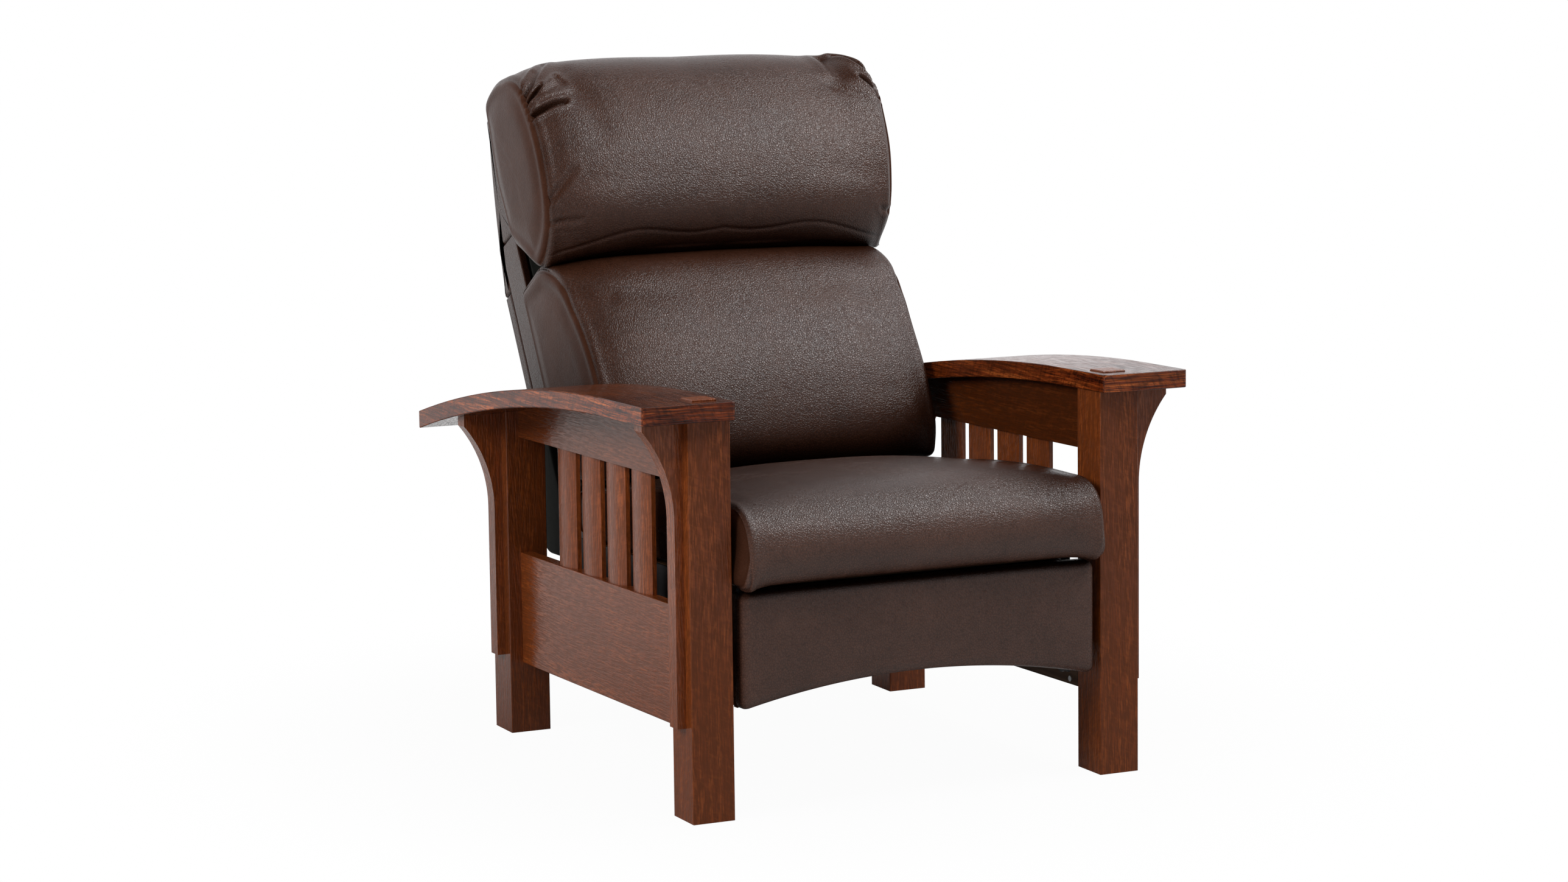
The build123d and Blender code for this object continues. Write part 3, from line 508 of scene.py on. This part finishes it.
for seed, (name, along, tone, grain) in enumerate(OAK_PIECES, 2):
    paint(oak("oak_" + name, along, seed, tone, **grain), name)
slat_start = row((0, FIRST_SLAT - SLAT_MARGIN, SLAT_HEIGHT))[1]
for seed, name in enumerate(("slats_right", "slats_left"), 23):
    paint(oak("oak_" + name, "z", seed, 1.4, (slat_start, SLAT_PITCH)), name)
for seed, (name, along) in enumerate(TIMBER_PIECES, 1):
    paint(plain_wood("timber_" + name, along, seed), name)
paint(metal("zinc", (0.62, 0.63, 0.64), 0.34), "track_screws", "cleat_screws", "carriage_bolts",
      "drive_pins", "cross_pins", "footrest_pins", "back_pivot_pins", "footrest_screws",
      "seat_springs", "spring_clips")
paint(metal("track_steel", (0.60, 0.60, 0.60), 0.38, streak=(1.0, 0.05, 1.0)), "track_right",
      "track_left")
paint(metal("black_paint", (0.030, 0.030, 0.032), 0.42, 0.0), "side_plate_right",
      "side_plate_left", "guide_plates", "carriage_cross_tube", "drive_links", "drive_tube",
      "cross_links", "control_links", "footrest_brackets", "back_brackets")
paint(nylon("nylon"), "glide_shoes")

# Copies of one leather. The seat's and footrest's is painted light: far paler, with painted shade
# on its upward faces and a painted haze of neutral colour.
hide = leather("leather", 0.90)
hide_front_painted_light = leather("leather_front_painted_light", 2.1, painted_haze=0.26, top=0.48)
hide_smooth = leather("leather_ends", 1.1, pebble=0.38, painted_haze=0.03, gloss=0.09)
dust_cloth = lining("lining_cloth")
paint(dust_cloth, "back_deck")


# ---------------------------------------------------------------- outlines and grids
ARC_POINTS, LOOP_POINTS = 40, 240


def three_point(a, b, c, count):
    """Points on the arc from a through b to c, without the last."""
    (ax, ay), (bx, by), (cx, cy) = a, b, c
    d = 2 * (ax * (by - cy) + bx * (cy - ay) + cx * (ay - by))
    if abs(d) < 1e-6:
        return [(ax + (cx - ax) * k / count, ay + (cy - ay) * k / count) for k in range(count)]
    sa, sb, sc = ax * ax + ay * ay, bx * bx + by * by, cx * cx + cy * cy
    ox = (sa * (by - cy) + sb * (cy - ay) + sc * (ay - by)) / d
    oy = (sa * (cx - bx) + sb * (ax - cx) + sc * (bx - ax)) / d
    radius = math.hypot(ax - ox, ay - oy)
    start, middle, end = (math.atan2(y - oy, x - ox) for x, y in (a, b, c))
    sweep = (end - start) % (2 * math.pi)
    if (middle - start) % (2 * math.pi) > sweep:
        sweep -= 2 * math.pi
    return [(ox + radius * math.cos(start + sweep * k / count),
             oy + radius * math.sin(start + sweep * k / count)) for k in range(count)]


def resampled(loop, count):
    """A closed loop with its points spaced evenly, from the same start."""
    closed = np.vstack([loop, loop[:1]])
    run = np.r_[0, np.cumsum(np.linalg.norm(np.diff(closed, axis=0), axis=1))]
    at = np.arange(count) * run[-1] / count
    return np.stack([np.interp(at, run, closed[:, k]) for k in range(2)], -1)


def outline(places, kinds, count, easing=6):
    """A closed outline of arcs and lines, with its corners eased."""
    points = [tuple(p) for p in places]
    points.append(points[0])
    dense, k = [], 0
    for kind in kinds:
        step = 2 if kind == "arc" else 1
        end = points[k + step]
        middle = points[k + 1] if kind == "arc" else tuple((np.array(points[k]) + end) / 2)
        dense += three_point(points[k], middle, end, ARC_POINTS)
        k += step
    loop = resampled(np.array(dense), LOOP_POINTS)
    for _ in range(easing):
        loop = loop * 0.5 + (np.roll(loop, 1, 0) + np.roll(loop, -1, 0)) * 0.25
    return resampled(loop, count)


def refined(grid):
    """The grid with a smooth new line of points between each two, both ways, by the four-point
    rule."""
    p = np.roll(grid, 1, 1), grid, np.roll(grid, -1, 1), np.roll(grid, -2, 1)
    between = (p[1] + p[2]) * 0.5625 - (p[0] + p[3]) * 0.0625
    wide = np.empty((grid.shape[0], grid.shape[1] * 2, *grid.shape[2:]))
    wide[:, ::2], wide[:, 1::2] = grid, between
    padded = np.concatenate([wide[:1] * 2 - wide[1:2], wide, wide[-1:] * 2 - wide[-2:-1]])
    between = (padded[1:-2] + padded[2:-1]) * 0.5625 - (padded[:-3] + padded[3:]) * 0.0625
    tall = np.empty((wide.shape[0] * 2 - 1, *wide.shape[1:]))
    tall[::2], tall[1::2] = wide, between
    return tall


def normals(grid):
    """Outward directions of a grid that closes round its second axis."""
    along = np.gradient(grid, axis=0)
    around = np.roll(grid, -1, 1) - np.roll(grid, 1, 1)
    n = np.cross(along, around)
    n /= np.maximum(np.linalg.norm(n, axis=-1, keepdims=True), 1e-9)
    centre = grid.mean((0, 1))
    if ((grid - centre) * n).sum(-1).mean() < 0:
        n = -n
    return n


def smoothed(field, rounds):
    """A field over such a grid, evened out along both its axes, its end rings kept."""
    for _ in range(rounds):
        field = field * 0.5 + (np.roll(field, 1, 1) + np.roll(field, -1, 1)) * 0.25
        inner = field[1:-1] * 0.5 + (field[:-2] + field[2:]) * 0.25
        field = np.concatenate([field[:1], inner, field[-1:]])
    return field


def solid(name, verts, faces, *made):
    """A smooth-shaded object of these points and faces."""
    data = bpy.data.meshes.new(name)
    data.from_pydata(verts, [], faces)
    data.update()
    data.polygons.foreach_set("use_smooth", [True] * len(data.polygons))
    for each in made:
        data.materials.append(each)
    ob = bpy.data.objects.new(name, data)
    scene.collection.objects.link(ob)
    return ob


def mesh_of(name, grid, *made):
    """An object from a grid that closes round its second axis, with a fan at each end."""
    rings, count = grid.shape[:2]
    verts = grid.reshape(-1, 3).tolist()
    faces = []
    for i in range(rings - 1):
        for j in range(count):
            k = (j + 1) % count
            faces.append((i * count + j, i * count + k, (i + 1) * count + k, (i + 1) * count + j))
    for ring, turn in ((0, -1), (rings - 1, 1)):
        verts.append(grid[ring].mean(0).tolist())
        for j in range(count):
            k = (j + 1) % count
            face = (ring * count + j, ring * count + k, len(verts) - 1)
            faces.append(face[::turn])
    ob = solid(name, verts, faces, *made)
    sample = ob.data.polygons[len(ob.data.polygons) // 2]
    if (np.array(sample.center) - grid.mean((0, 1))) @ np.array(sample.normal) < 0:
        ob.data.flip_normals()
    return ob


# ---------------------------------------------------------------- cushions
SIM_FRAMES = 20
SIM_PRESSURE, SIM_SHRINK, SIM_STIFFNESS, SIM_BENDING = 4.0, 0.0012, 18, 3.0
SIM_CAP, SIM_FOLLOW = 0.012, 0.3        # the furthest move in metres, the share of slow swell kept
SIM_START_IN = 5.0                      # how far inside its form a cover starts, in mm
SIM_EASE = 40                           # over how many mm from the seam it gets there
FIRST_RINGS, RING_STEP = (0, 2, 5, 9, 14, 21, 29), 9.5    # of points, in mm from the seam
PANEL_SHARES = (0.03, 0.12, 0.24, 0.37, 0.50, 0.62, 0.73, 0.82, 0.90, 0.955, 0.985)
PANEL_DOME = 3.2                        # how flat the middle of an end panel is
SEAM_DROP, SEAM_REACH = 4.2, 3.2        # the groove along a seam, and the lips beside it, in mm
LIP_RISE, LIP_AT, LIP_REACH = 1.8, 9, 7
GIRTH = 1040.0                          # the pillow's length around, which turns shares into mm


def hump(value, at, reach):
    return np.exp(-((value - at) / reach) ** 2)


def inflated(grid, pinned):
    """The grid after a cloth simulation under pressure, its seams pinned. Folds stay whole; the
    slow swell is damped."""
    ob = mesh_of("sim", grid)
    group = ob.vertex_groups.new(name="pin")
    group.add([int(v) for v in np.nonzero(pinned.reshape(-1))[0]], 1.0, "REPLACE")
    cloth = ob.modifiers.new("cloth", "CLOTH")
    settings = cloth.settings
    settings.vertex_group_mass = "pin"
    settings.use_pressure = True
    settings.uniform_pressure_force = SIM_PRESSURE
    settings.shrink_min = SIM_SHRINK
    settings.quality = 6
    settings.mass = 0.4
    settings.tension_stiffness = settings.compression_stiffness = SIM_STIFFNESS
    settings.bending_stiffness = SIM_BENDING
    settings.effector_weights.gravity = 0
    cloth.point_cache.frame_start, cloth.point_cache.frame_end = 1, SIM_FRAMES
    for number in range(1, SIM_FRAMES + 1):
        scene.frame_set(number)
    swollen = ob.evaluated_get(bpy.context.evaluated_depsgraph_get())
    co = np.empty(len(swollen.data.vertices) * 3)
    swollen.data.vertices.foreach_get("co", co)
    co = co.reshape(-1, 3)[:grid.shape[0] * grid.shape[1]].reshape(grid.shape)
    scene.frame_set(1)
    bpy.data.objects.remove(ob)
    move = co - grid
    move = move - smoothed(move, 30) * (1 - SIM_FOLLOW)
    length = np.linalg.norm(move, axis=-1, keepdims=True)
    return grid + move * np.minimum(1, SIM_CAP / np.maximum(length, 1e-9))


def cushion(name, half, puff, seam, crown, kinds, corner, span, count, body, node, local,
            back=True, cover=None, full=2.8, wide=(0.0, 0.0)):
    """A stuffed form across the chair, with a sewn panel at each end, from the CAD's own outlines.

    half and puff are its half width and how far the panels dome, in mm. seam and crown are shares
    of a box with its corner and span in mm. full is how soon the section grows from the seam's to
    the crown's, wide how much the ends reach past the CAD's, and local(depth, around, side) the
    swell in mm at a distance from the seam and a share of the way round."""
    seam, crown = np.array(seam), np.array(crown)
    corner, span = np.array(corner), np.array(span)
    from_seam = list(FIRST_RINGS)
    while from_seam[-1] + RING_STEP < half:
        from_seam.append(from_seam[-1] + RING_STEP)
    from_seam = np.array(from_seam) * half / from_seam[-1]
    rings, depth = [], []
    edge = outline(corner + seam * span, kinds, count)
    centre = edge.mean(0)
    for share in PANEL_SHARES:
        rings.append((half + puff * (1 - share ** PANEL_DOME), centre + (edge - centre) * share))
        depth.append(-(1 - share) * 0.5 * min(abs(span[0]), abs(span[1])))
    for d in from_seam:
        amount = 1 - (1 - d / half) ** full
        rings.append((half - d, outline(corner + (seam + (crown - seam) * amount) * span, kinds,
                                        count)))
        depth.append(d)
    grid = np.array([np.c_[np.full(count, x), loop] for x, loop in rings])
    grid = np.concatenate([grid, grid[:-1][::-1] * (-1, 1, 1)])
    depth = np.array(depth + depth[:-1][::-1])
    side = np.r_[np.ones(len(rings)), -np.ones(len(rings) - 1)]
    grid[..., 0] += np.where(grid[..., 0] > 0, wide[1], wide[0]) * grid[..., 0] / half
    grid = row(grid, back)
    pins = np.repeat((np.abs(depth) < 1e-6)[:, None], count, 1)
    lean_in = np.minimum(1, np.abs(depth) / SIM_EASE)[:, None, None] * SIM_START_IN * MM
    start = grid - normals(grid) * lean_in * ~pins[..., None]
    grid = inflated(start, pins) + (grid - start)
    fine = refined(refined(grid))
    at = np.arange(len(fine)) / 4
    depth = np.interp(at, np.arange(len(depth)), depth)
    side = np.sign(np.interp(at, np.arange(len(side)), side) + 1e-9)
    around = np.arange(fine.shape[1]) / fine.shape[1]
    lift = -SEAM_DROP * hump(depth, 0, SEAM_REACH)
    lift = lift + LIP_RISE * hump(np.abs(depth), LIP_AT, LIP_REACH)
    lift = np.repeat(lift[:, None], fine.shape[1], 1)
    lift = lift + local(depth[:, None], around[None, :], side[:, None])
    fine = fine + normals(fine) * lift[..., None] * MM
    ob = mesh_of(name, fine, cover or hide, hide_smooth)
    ends = np.repeat(depth[:-1] < -1e-3, fine.shape[1])
    ends = np.r_[ends, np.ones(len(ob.data.polygons) - len(ends), bool)]
    ob.data.polygons.foreach_set("material_index", ends.astype(np.int32))
    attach(ob, body)
    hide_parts(node)


# Side outlines from the front bottom corner up, over the top and back, as in the CAD source
SEAT_SEAM = ((0.019, 0.0), (0.003, 0.34), (0.016, 0.60), (0.05, 0.757), (0.12, 0.80),
             (0.42, 0.80), (0.814, 0.60), (1.0, 0.50), (1.0, 0.0))
SEAT_CROWN = ((0.035, 0.0), (0.0, 0.375), (0.019, 0.64), (0.079, 0.84), (0.221, 0.965),
              (0.412, 1.0), (0.814, 0.695), (1.0, 0.55), (1.0, 0.0))
LUMBAR_SEAM = ((0.70, 0.01), (0.81, 0.085), (0.865, 0.22), (0.873, 0.42), (0.735, 0.735),
               (0.60, 0.89), (0.385, 0.975), (0.0, 0.985), (0.0, 0.18))
LUMBAR_CROWN = ((0.765, 0.0), (0.892, 0.09), (0.975, 0.25), (1.0, 0.45), (0.89, 0.745),
                (0.80, 0.875), (0.65, 0.955), (0.0, 0.993), (0.0, 0.18))
PILLOW_SEAM = ((0.473, 0.0), (0.695, 0.085), (0.82, 0.24), (0.87, 0.49), (0.82, 0.717),
               (0.72, 0.85), (0.52, 0.923), (0.35, 0.95), (0.175, 0.929), (0.09, 0.54),
               (0.115, 0.255))
PILLOW_CROWN = ((0.695, 0.015), (0.88, 0.105), (0.97, 0.27), (1.0, 0.50), (0.92, 0.747),
                (0.79, 0.912), (0.54, 0.986), (0.375, 1.0), (0.02, 0.93), (0.0, 0.54),
                (0.0, 0.08))
BLOCK_KINDS = ("arc", "arc", "arc", "line", "line", "line")
ROLL_KINDS = ("arc", "arc", "arc", "arc", "line", "line", "line")

# The pillow's gathers and dents: side (-1 is the sitter's right), start and end as (mm from the
# seam, share of the way round), width and drop in mm, and how much the lips rise
PILLOW_FOLDS = (
    (-1, (0, 0.340), (30, 0.343), 4.5, 12.0, 0.30), (-1, (0, 0.307), (60, 0.286), 5.0, 13.0, 0.35),
    (-1, (0, 0.352), (66, 0.408), 7.0, 6.0, 0.40), (-1, (34, 0.334), (64, 0.346), 11.0, -6.0, 0.0),
    (-1, (16, 0.322), (70, 0.306), 8.0, -6.0, 0.0), (-1, (78, 0.345), (104, 0.205), 24.0, 5.0, 0.0),
    (-1, (0, 0.374), (34, 0.392), 5.0, 3.0, 0.40), (-1, (62, 0.345), (70, 0.320), 5.0, 4.0, 0.20),
    (-1, (4, 0.134), (40, 0.156), 8.0, 3.5, 0.30), (-1, (0, 0.092), (48, 0.070), 5.0, 2.2, 0.30),
    (1, (50, 0.382), (46, 0.322), 10.0, 9.0, 0.20), (1, (34, 0.392), (0, 0.356), 5.0, 9.0, 0.40),
    (1, (28, 0.440), (0, 0.392), 5.5, 7.0, 0.35), (1, (18, 0.334), (0, 0.318), 4.5, 7.0, 0.30),
    (1, (60, 0.300), (20, 0.285), 12.0, 3.0, 0.20), (1, (0, 0.088), (16, 0.080), 5.0, 3.0, 0.40))
LUMBAR_FOLDS = ((-1, (0, 0.335), (60, 0.30), 14.0, 3.0, 0.2),
                (1, (0, 0.30), (70, 0.27), 18.0, 2.5, 0.2))


def crease(depth, around, side, which, start, end, width, drop, lips):
    """A fold across stuffed leather at one end: a dip along a line, between raised lips."""
    (d0, a0), (d1, a1) = start, end
    u, v = depth - d0, (around - a0) * GIRTH
    run, rise = d1 - d0, (a1 - a0) * GIRTH
    share = np.clip((u * run + v * rise) / (run * run + rise * rise), 0, 1)
    far = np.hypot(u - share * run, v - share * rise)
    fade = 1 - 0.45 * share
    shape = -drop * hump(far, 0, width) + lips * drop * hump(far, 2 * width, width)
    return np.where(side == which, shape * fade, 0.0) * np.clip((depth + 8) / 8, 0, 1)


def pressed(around, at, reach, height):
    """A swell of one side of the outline, where two cushions bear on each other."""
    apart = np.abs((around - at + 0.5) % 1.0 - 0.5)
    return height * hump(apart, 0, reach)


def left_end(depth, side, height, at, reach):
    """A swell near the seam at the sitter's left, where the photograph shows the form fuller."""
    return np.where(side > 0, height, 0.0) * hump(depth, at, reach)


def pillow_shape(depth, around, side):
    inner = np.clip(depth / 60, 0, 1)
    lift = np.zeros(np.broadcast(depth, around, side).shape)
    for fold in PILLOW_FOLDS:
        lift = lift + crease(depth, around, side, *fold)
    lift = lift + pressed(around, 0.45, 0.08, 8.5) * np.clip(depth / 70, 0, 1)
    lift = lift + pressed(around, 0.97, 0.06, 9.0) * np.clip((depth + 20) / 30, 0, 1)
    low_seam = np.abs((around - 0.028) * GIRTH + 5 * np.sin(depth / 31.0))
    lift = lift - 1.3 * hump(low_seam, 0, 3.0) * np.clip(depth / 30, 0, 1)
    lift = lift + left_end(depth, side, 19.0, 4, 42) * hump(around, 0.28, 0.16)
    lift = lift + left_end(depth, side, 13.0, 12, 34) * hump(around, 0.36, 0.06)
    lift = lift - left_end(depth, side, 8.0, 2, 20) * pressed(around, 0.01, 0.05, 1.0)
    return lift + 0.9 * np.sin(depth / 47.0 + 9.0 * around) * inner


def lumbar_shape(depth, around, side):
    lift = left_end(depth, side, 15.0, 4, 42) * hump(around, 0.33, 0.08)
    lift = lift + pressed(around, 0.43, 0.06, 9.0) * np.clip((depth + 20) / 30, 0, 1)
    for fold in LUMBAR_FOLDS:
        lift = lift + crease(depth, around, side, *fold)
    return lift + 0.8 * np.sin(depth / 61.0 + 7.0 * around) * np.clip(depth / 60, 0, 1)


def seat_shape(depth, around, side):
    """A little less crown, and a lower front edge, most of all at the ends."""
    lift = pressed(around, 0.28, 0.10, -7.0) * np.clip(depth / 40, 0, 1)
    return lift + pressed(around, 0.0, 0.03, 1.0) * (3.5 + 5.0 * hump(depth, 6, 24))


cushion("seat_cushion_leather", 306.0, 4.0, SEAT_SEAM, SEAT_CROWN, BLOCK_KINDS,
        corner=(-36.0, 354.0), span=(634.0, 144.0), count=132, body="carriage",
        node="seat_cushion", local=seat_shape, back=False, cover=hide_front_painted_light)
cushion("lumbar_cushion_leather", 289.0, 4.0, LUMBAR_SEAM, LUMBAR_CROWN, BLOCK_KINDS,
        corner=(-10.5, 37.0), span=(-237.0, 420.0), count=120, body="back",
        node="lumbar_cushion", local=lumbar_shape, full=4.5, wide=(8.0, 10.0))
cushion("head_pillow_leather", 300.0, 10.0, PILLOW_SEAM, PILLOW_CROWN, ROLL_KINDS,
        corner=(-10.5, 443.0), span=(-241.0, 364.0), count=116, body="back",
        node="head_pillow", local=pillow_shape, full=5.0, wide=(4.0, 23.0))


# ---------------------------------------------------------------- covers of the back
# Sizes in the back's own frame, in mm: rearward from its face, and along it from its foot
BACK_HALF, SIDE_THICKNESS = 286.0, 13.7
FACE, POST_REAR, COVER_REAR = -10.0, 56.3, 85.0
FOOT, BEND, TOP, UPPER_SIDE = 215.0, 480.0, 776.0, 560.0
TAIL_HALF, TAIL_ROUND = 279.0, 38
TAIL_REAR, TAIL_FLOOR = 817.0, 294.0    # y and z in the chair's frame
SLAB_STEP, ROUND_STEPS = 12, 6


def slab(name, places, kinds, x0, x1, round_by, made, node, swell=0.0, count=160):
    """A panel across the chair with one side outline, rounded at its ends, its faces swollen a
    little."""
    loop = outline(places, kinds, count, 2)
    centre = loop.mean(0)
    tangent = np.roll(loop, -1, 0) - np.roll(loop, 1, 0)
    normal = np.c_[tangent[:, 1], -tangent[:, 0]]
    normal /= np.maximum(np.linalg.norm(normal, axis=1, keepdims=True), 1e-9)
    if ((loop - centre) * normal).sum() < 0:
        normal = -normal
    rings = [(x1, centre + (loop - normal * round_by - centre) * share)
             for share in (0.05, 0.4, 0.75)]
    for k in range(ROUND_STEPS + 1):
        a = k / ROUND_STEPS * math.pi / 2
        rings.append((x1 - round_by * (1 - math.cos(a)),
                      loop - normal * round_by * (1 - math.sin(a))))
    half = (x1 - x0) / 2
    steps = max(2, int((half - round_by) / SLAB_STEP))
    for k in range(1, steps + 1):
        d = round_by + (half - round_by) * k / steps
        rise = swell * (1 - (1 - (d - round_by) / max(half - round_by, 1e-6)) ** 3)
        rings.append((x1 - d, loop + normal * rise))
    grid = np.array([np.c_[np.full(count, x), pts] for x, pts in rings])
    mirror = grid[:-1][::-1].copy()
    mirror[..., 0] = x0 + x1 - mirror[..., 0]
    ob = mesh_of(name, row(np.concatenate([grid, mirror]), True), made)
    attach(ob, "back")
    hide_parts(node)
    return ob


# Leather over the sides and the rear of the back, and the dark cloth tail behind the seat
inner_half = BACK_HALF - SIDE_THICKNESS
for name, x0, x1 in (("back_side_right", inner_half, BACK_HALF),
                     ("back_side_left", -BACK_HALF, -inner_half)):
    slab(name + "_leather", ((FACE, FOOT), (POST_REAR, FOOT), (POST_REAR, UPPER_SIDE),
                                     (FACE, UPPER_SIDE)),
                 ("line",) * 4, x0, x1, 3.0, hide, name)
slab("outside_back_lower_leather", ((POST_REAR, FOOT), (COVER_REAR, FOOT),
                                            (COVER_REAR, BEND), (POST_REAR, BEND)),
             ("line",) * 4, -BACK_HALF, BACK_HALF, 6.0, hide, "outside_back_lower",
             swell=1.5)
slab("outside_back_upper_leather", ((87.0, BEND), (45.5, 640.0), (-4.0, TOP), (FACE, TOP),
                                            (FACE, UPPER_SIDE), (POST_REAR, UPPER_SIDE),
                                            (POST_REAR, BEND)),
             ("arc", "line", "line", "line", "line", "line"), -BACK_HALF, BACK_HALF, 8.0, hide,
             "outside_back_upper", swell=1.5)
arc_in = TAIL_ROUND * 0.2929            # how far the middle of a quarter turn lies from its box
tail_u = (TAIL_FLOOR - BACK_ORIGIN[1] + POST_REAR * math.sin(RECLINE)) / math.cos(RECLINE)
tail = [(POST_REAR, FOOT), (COVER_REAR, FOOT)]
for y, z in ((TAIL_REAR, TAIL_FLOOR + TAIL_ROUND), (TAIL_REAR - arc_in, TAIL_FLOOR + arc_in),
             (TAIL_REAR - TAIL_ROUND, TAIL_FLOOR)):
    tail.append(tipped(y - BACK_ORIGIN[0], z - BACK_ORIGIN[1], -RECLINE))
tail.append((POST_REAR, tail_u))
slab("back_tail_cloth", tail, ("line", "line", "arc", "line", "line"), -TAIL_HALF,
             TAIL_HALF, 5.0, dust_cloth, "back_tail_lining", swell=1.0)


# ---------------------------------------------------------------- footrest pad
PAD_HALF, PAD_TOP, PAD_CORNER, PAD_ARCH = 306.0, 344.0, 163.0, 198.0
PAD_FRONT, PAD_REAR, PAD_CROWN, PAD_ROUND = -8.0, 19.7, 5.0, 15.0
PAD_STEPS = (0, 1.2, 3, 5.5, 8.5, 12, 15, 20, 27, 36)   # rows of points, in mm from the rim
PAD_COLUMNS, PAD_ROWS = 56, 12          # and the even ones between them
EVEN_X, EVEN_Z = 48, 46                 # which start this far in
CROWN_START, CROWN_REACH = 8, 34.0      # where the crown starts to rise, and how slowly


def pad_face():
    """The pad's face as a grid in x and z, with rounded edges, a low crown and an arched foot."""
    sag = PAD_ARCH - PAD_CORNER
    bow = (PAD_HALF ** 2 + sag ** 2) / (2 * sag)

    def low(x):
        return PAD_CORNER + sag - bow + np.sqrt(bow ** 2 - x ** 2)

    near = np.array(PAD_STEPS)
    xs = np.r_[-PAD_HALF + near,
               np.linspace(-PAD_HALF + EVEN_X, PAD_HALF - EVEN_X, PAD_COLUMNS),
               PAD_HALF - near[::-1]]
    cols = []
    for x, h, ex in zip(xs, PAD_TOP - low(xs), PAD_HALF - np.abs(xs)):
        zs = np.r_[near, np.linspace(EVEN_Z, h - EVEN_Z, PAD_ROWS), h - near[::-1]]
        ez = np.minimum(zs, h - zs)
        a, b = max(0.0, PAD_ROUND - ex), np.maximum(0.0, PAD_ROUND - ez)
        a2 = a * np.sqrt(1 - b ** 2 / (2 * PAD_ROUND ** 2))
        b2 = b * np.sqrt(1 - a ** 2 / (2 * PAD_ROUND ** 2))
        upper = np.where(zs > h / 2, 1.0, -1.0)
        depth = PAD_ROUND - np.sqrt(np.maximum(0.0, PAD_ROUND ** 2 - a2 ** 2 - b2 ** 2))
        rise = 1 - np.exp(-np.maximum(0, np.minimum(ex, ez) - CROWN_START) / CROWN_REACH)
        cols.append(np.c_[np.sign(x) * (np.abs(x) + (a2 - a)),
                          PAD_FRONT + depth - PAD_CROWN * rise ** 2,
                          low(abs(x)) + zs + upper * (b2 - b)])
    return np.array(cols)


def footrest_panel():
    """The footrest's pad: its face, sides down to the board, and a flat rear."""
    face = pad_face()
    n, m = face.shape[:2]
    verts = row(face.reshape(-1, 3)).tolist()
    faces = [(i * m + j, (i + 1) * m + j, (i + 1) * m + j + 1, i * m + j + 1)
             for i in range(n - 1) for j in range(m - 1)]
    rim = [(i, 0) for i in range(n)] + [(n - 1, j) for j in range(1, m)]
    rim += [(i, m - 1) for i in range(n - 2, -1, -1)] + [(0, j) for j in range(m - 2, 0, -1)]
    last = [i * m + j for i, j in rim]
    for y in (10.0, 15.0, PAD_REAR - 1.5, PAD_REAR):
        pull = 1.2 if y == PAD_REAR else 0.0
        ring = []
        for i, j in rim:
            x, _, z = face[i, j]
            ring.append((x - np.sign(x) * pull, y, z - (pull if j > m / 2 else -pull)))
        now = [len(verts) + k for k in range(len(ring))]
        verts += row(np.array(ring)).tolist()
        for k in range(len(now)):
            q = (k + 1) % len(now)
            faces.append((last[k], now[k], now[q], last[q]))
        last = now
    verts.append(np.mean([verts[v] for v in last], axis=0).tolist())
    faces += [(last[k], len(verts) - 1, last[(k + 1) % len(last)]) for k in range(len(last))]
    ob = solid("footrest_pad_leather", verts, faces, hide_front_painted_light)
    if ob.data.polygons[0].normal.y > 0:
        ob.data.flip_normals()
    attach(ob, "footrest")
    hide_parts("footrest_pad")


footrest_panel()
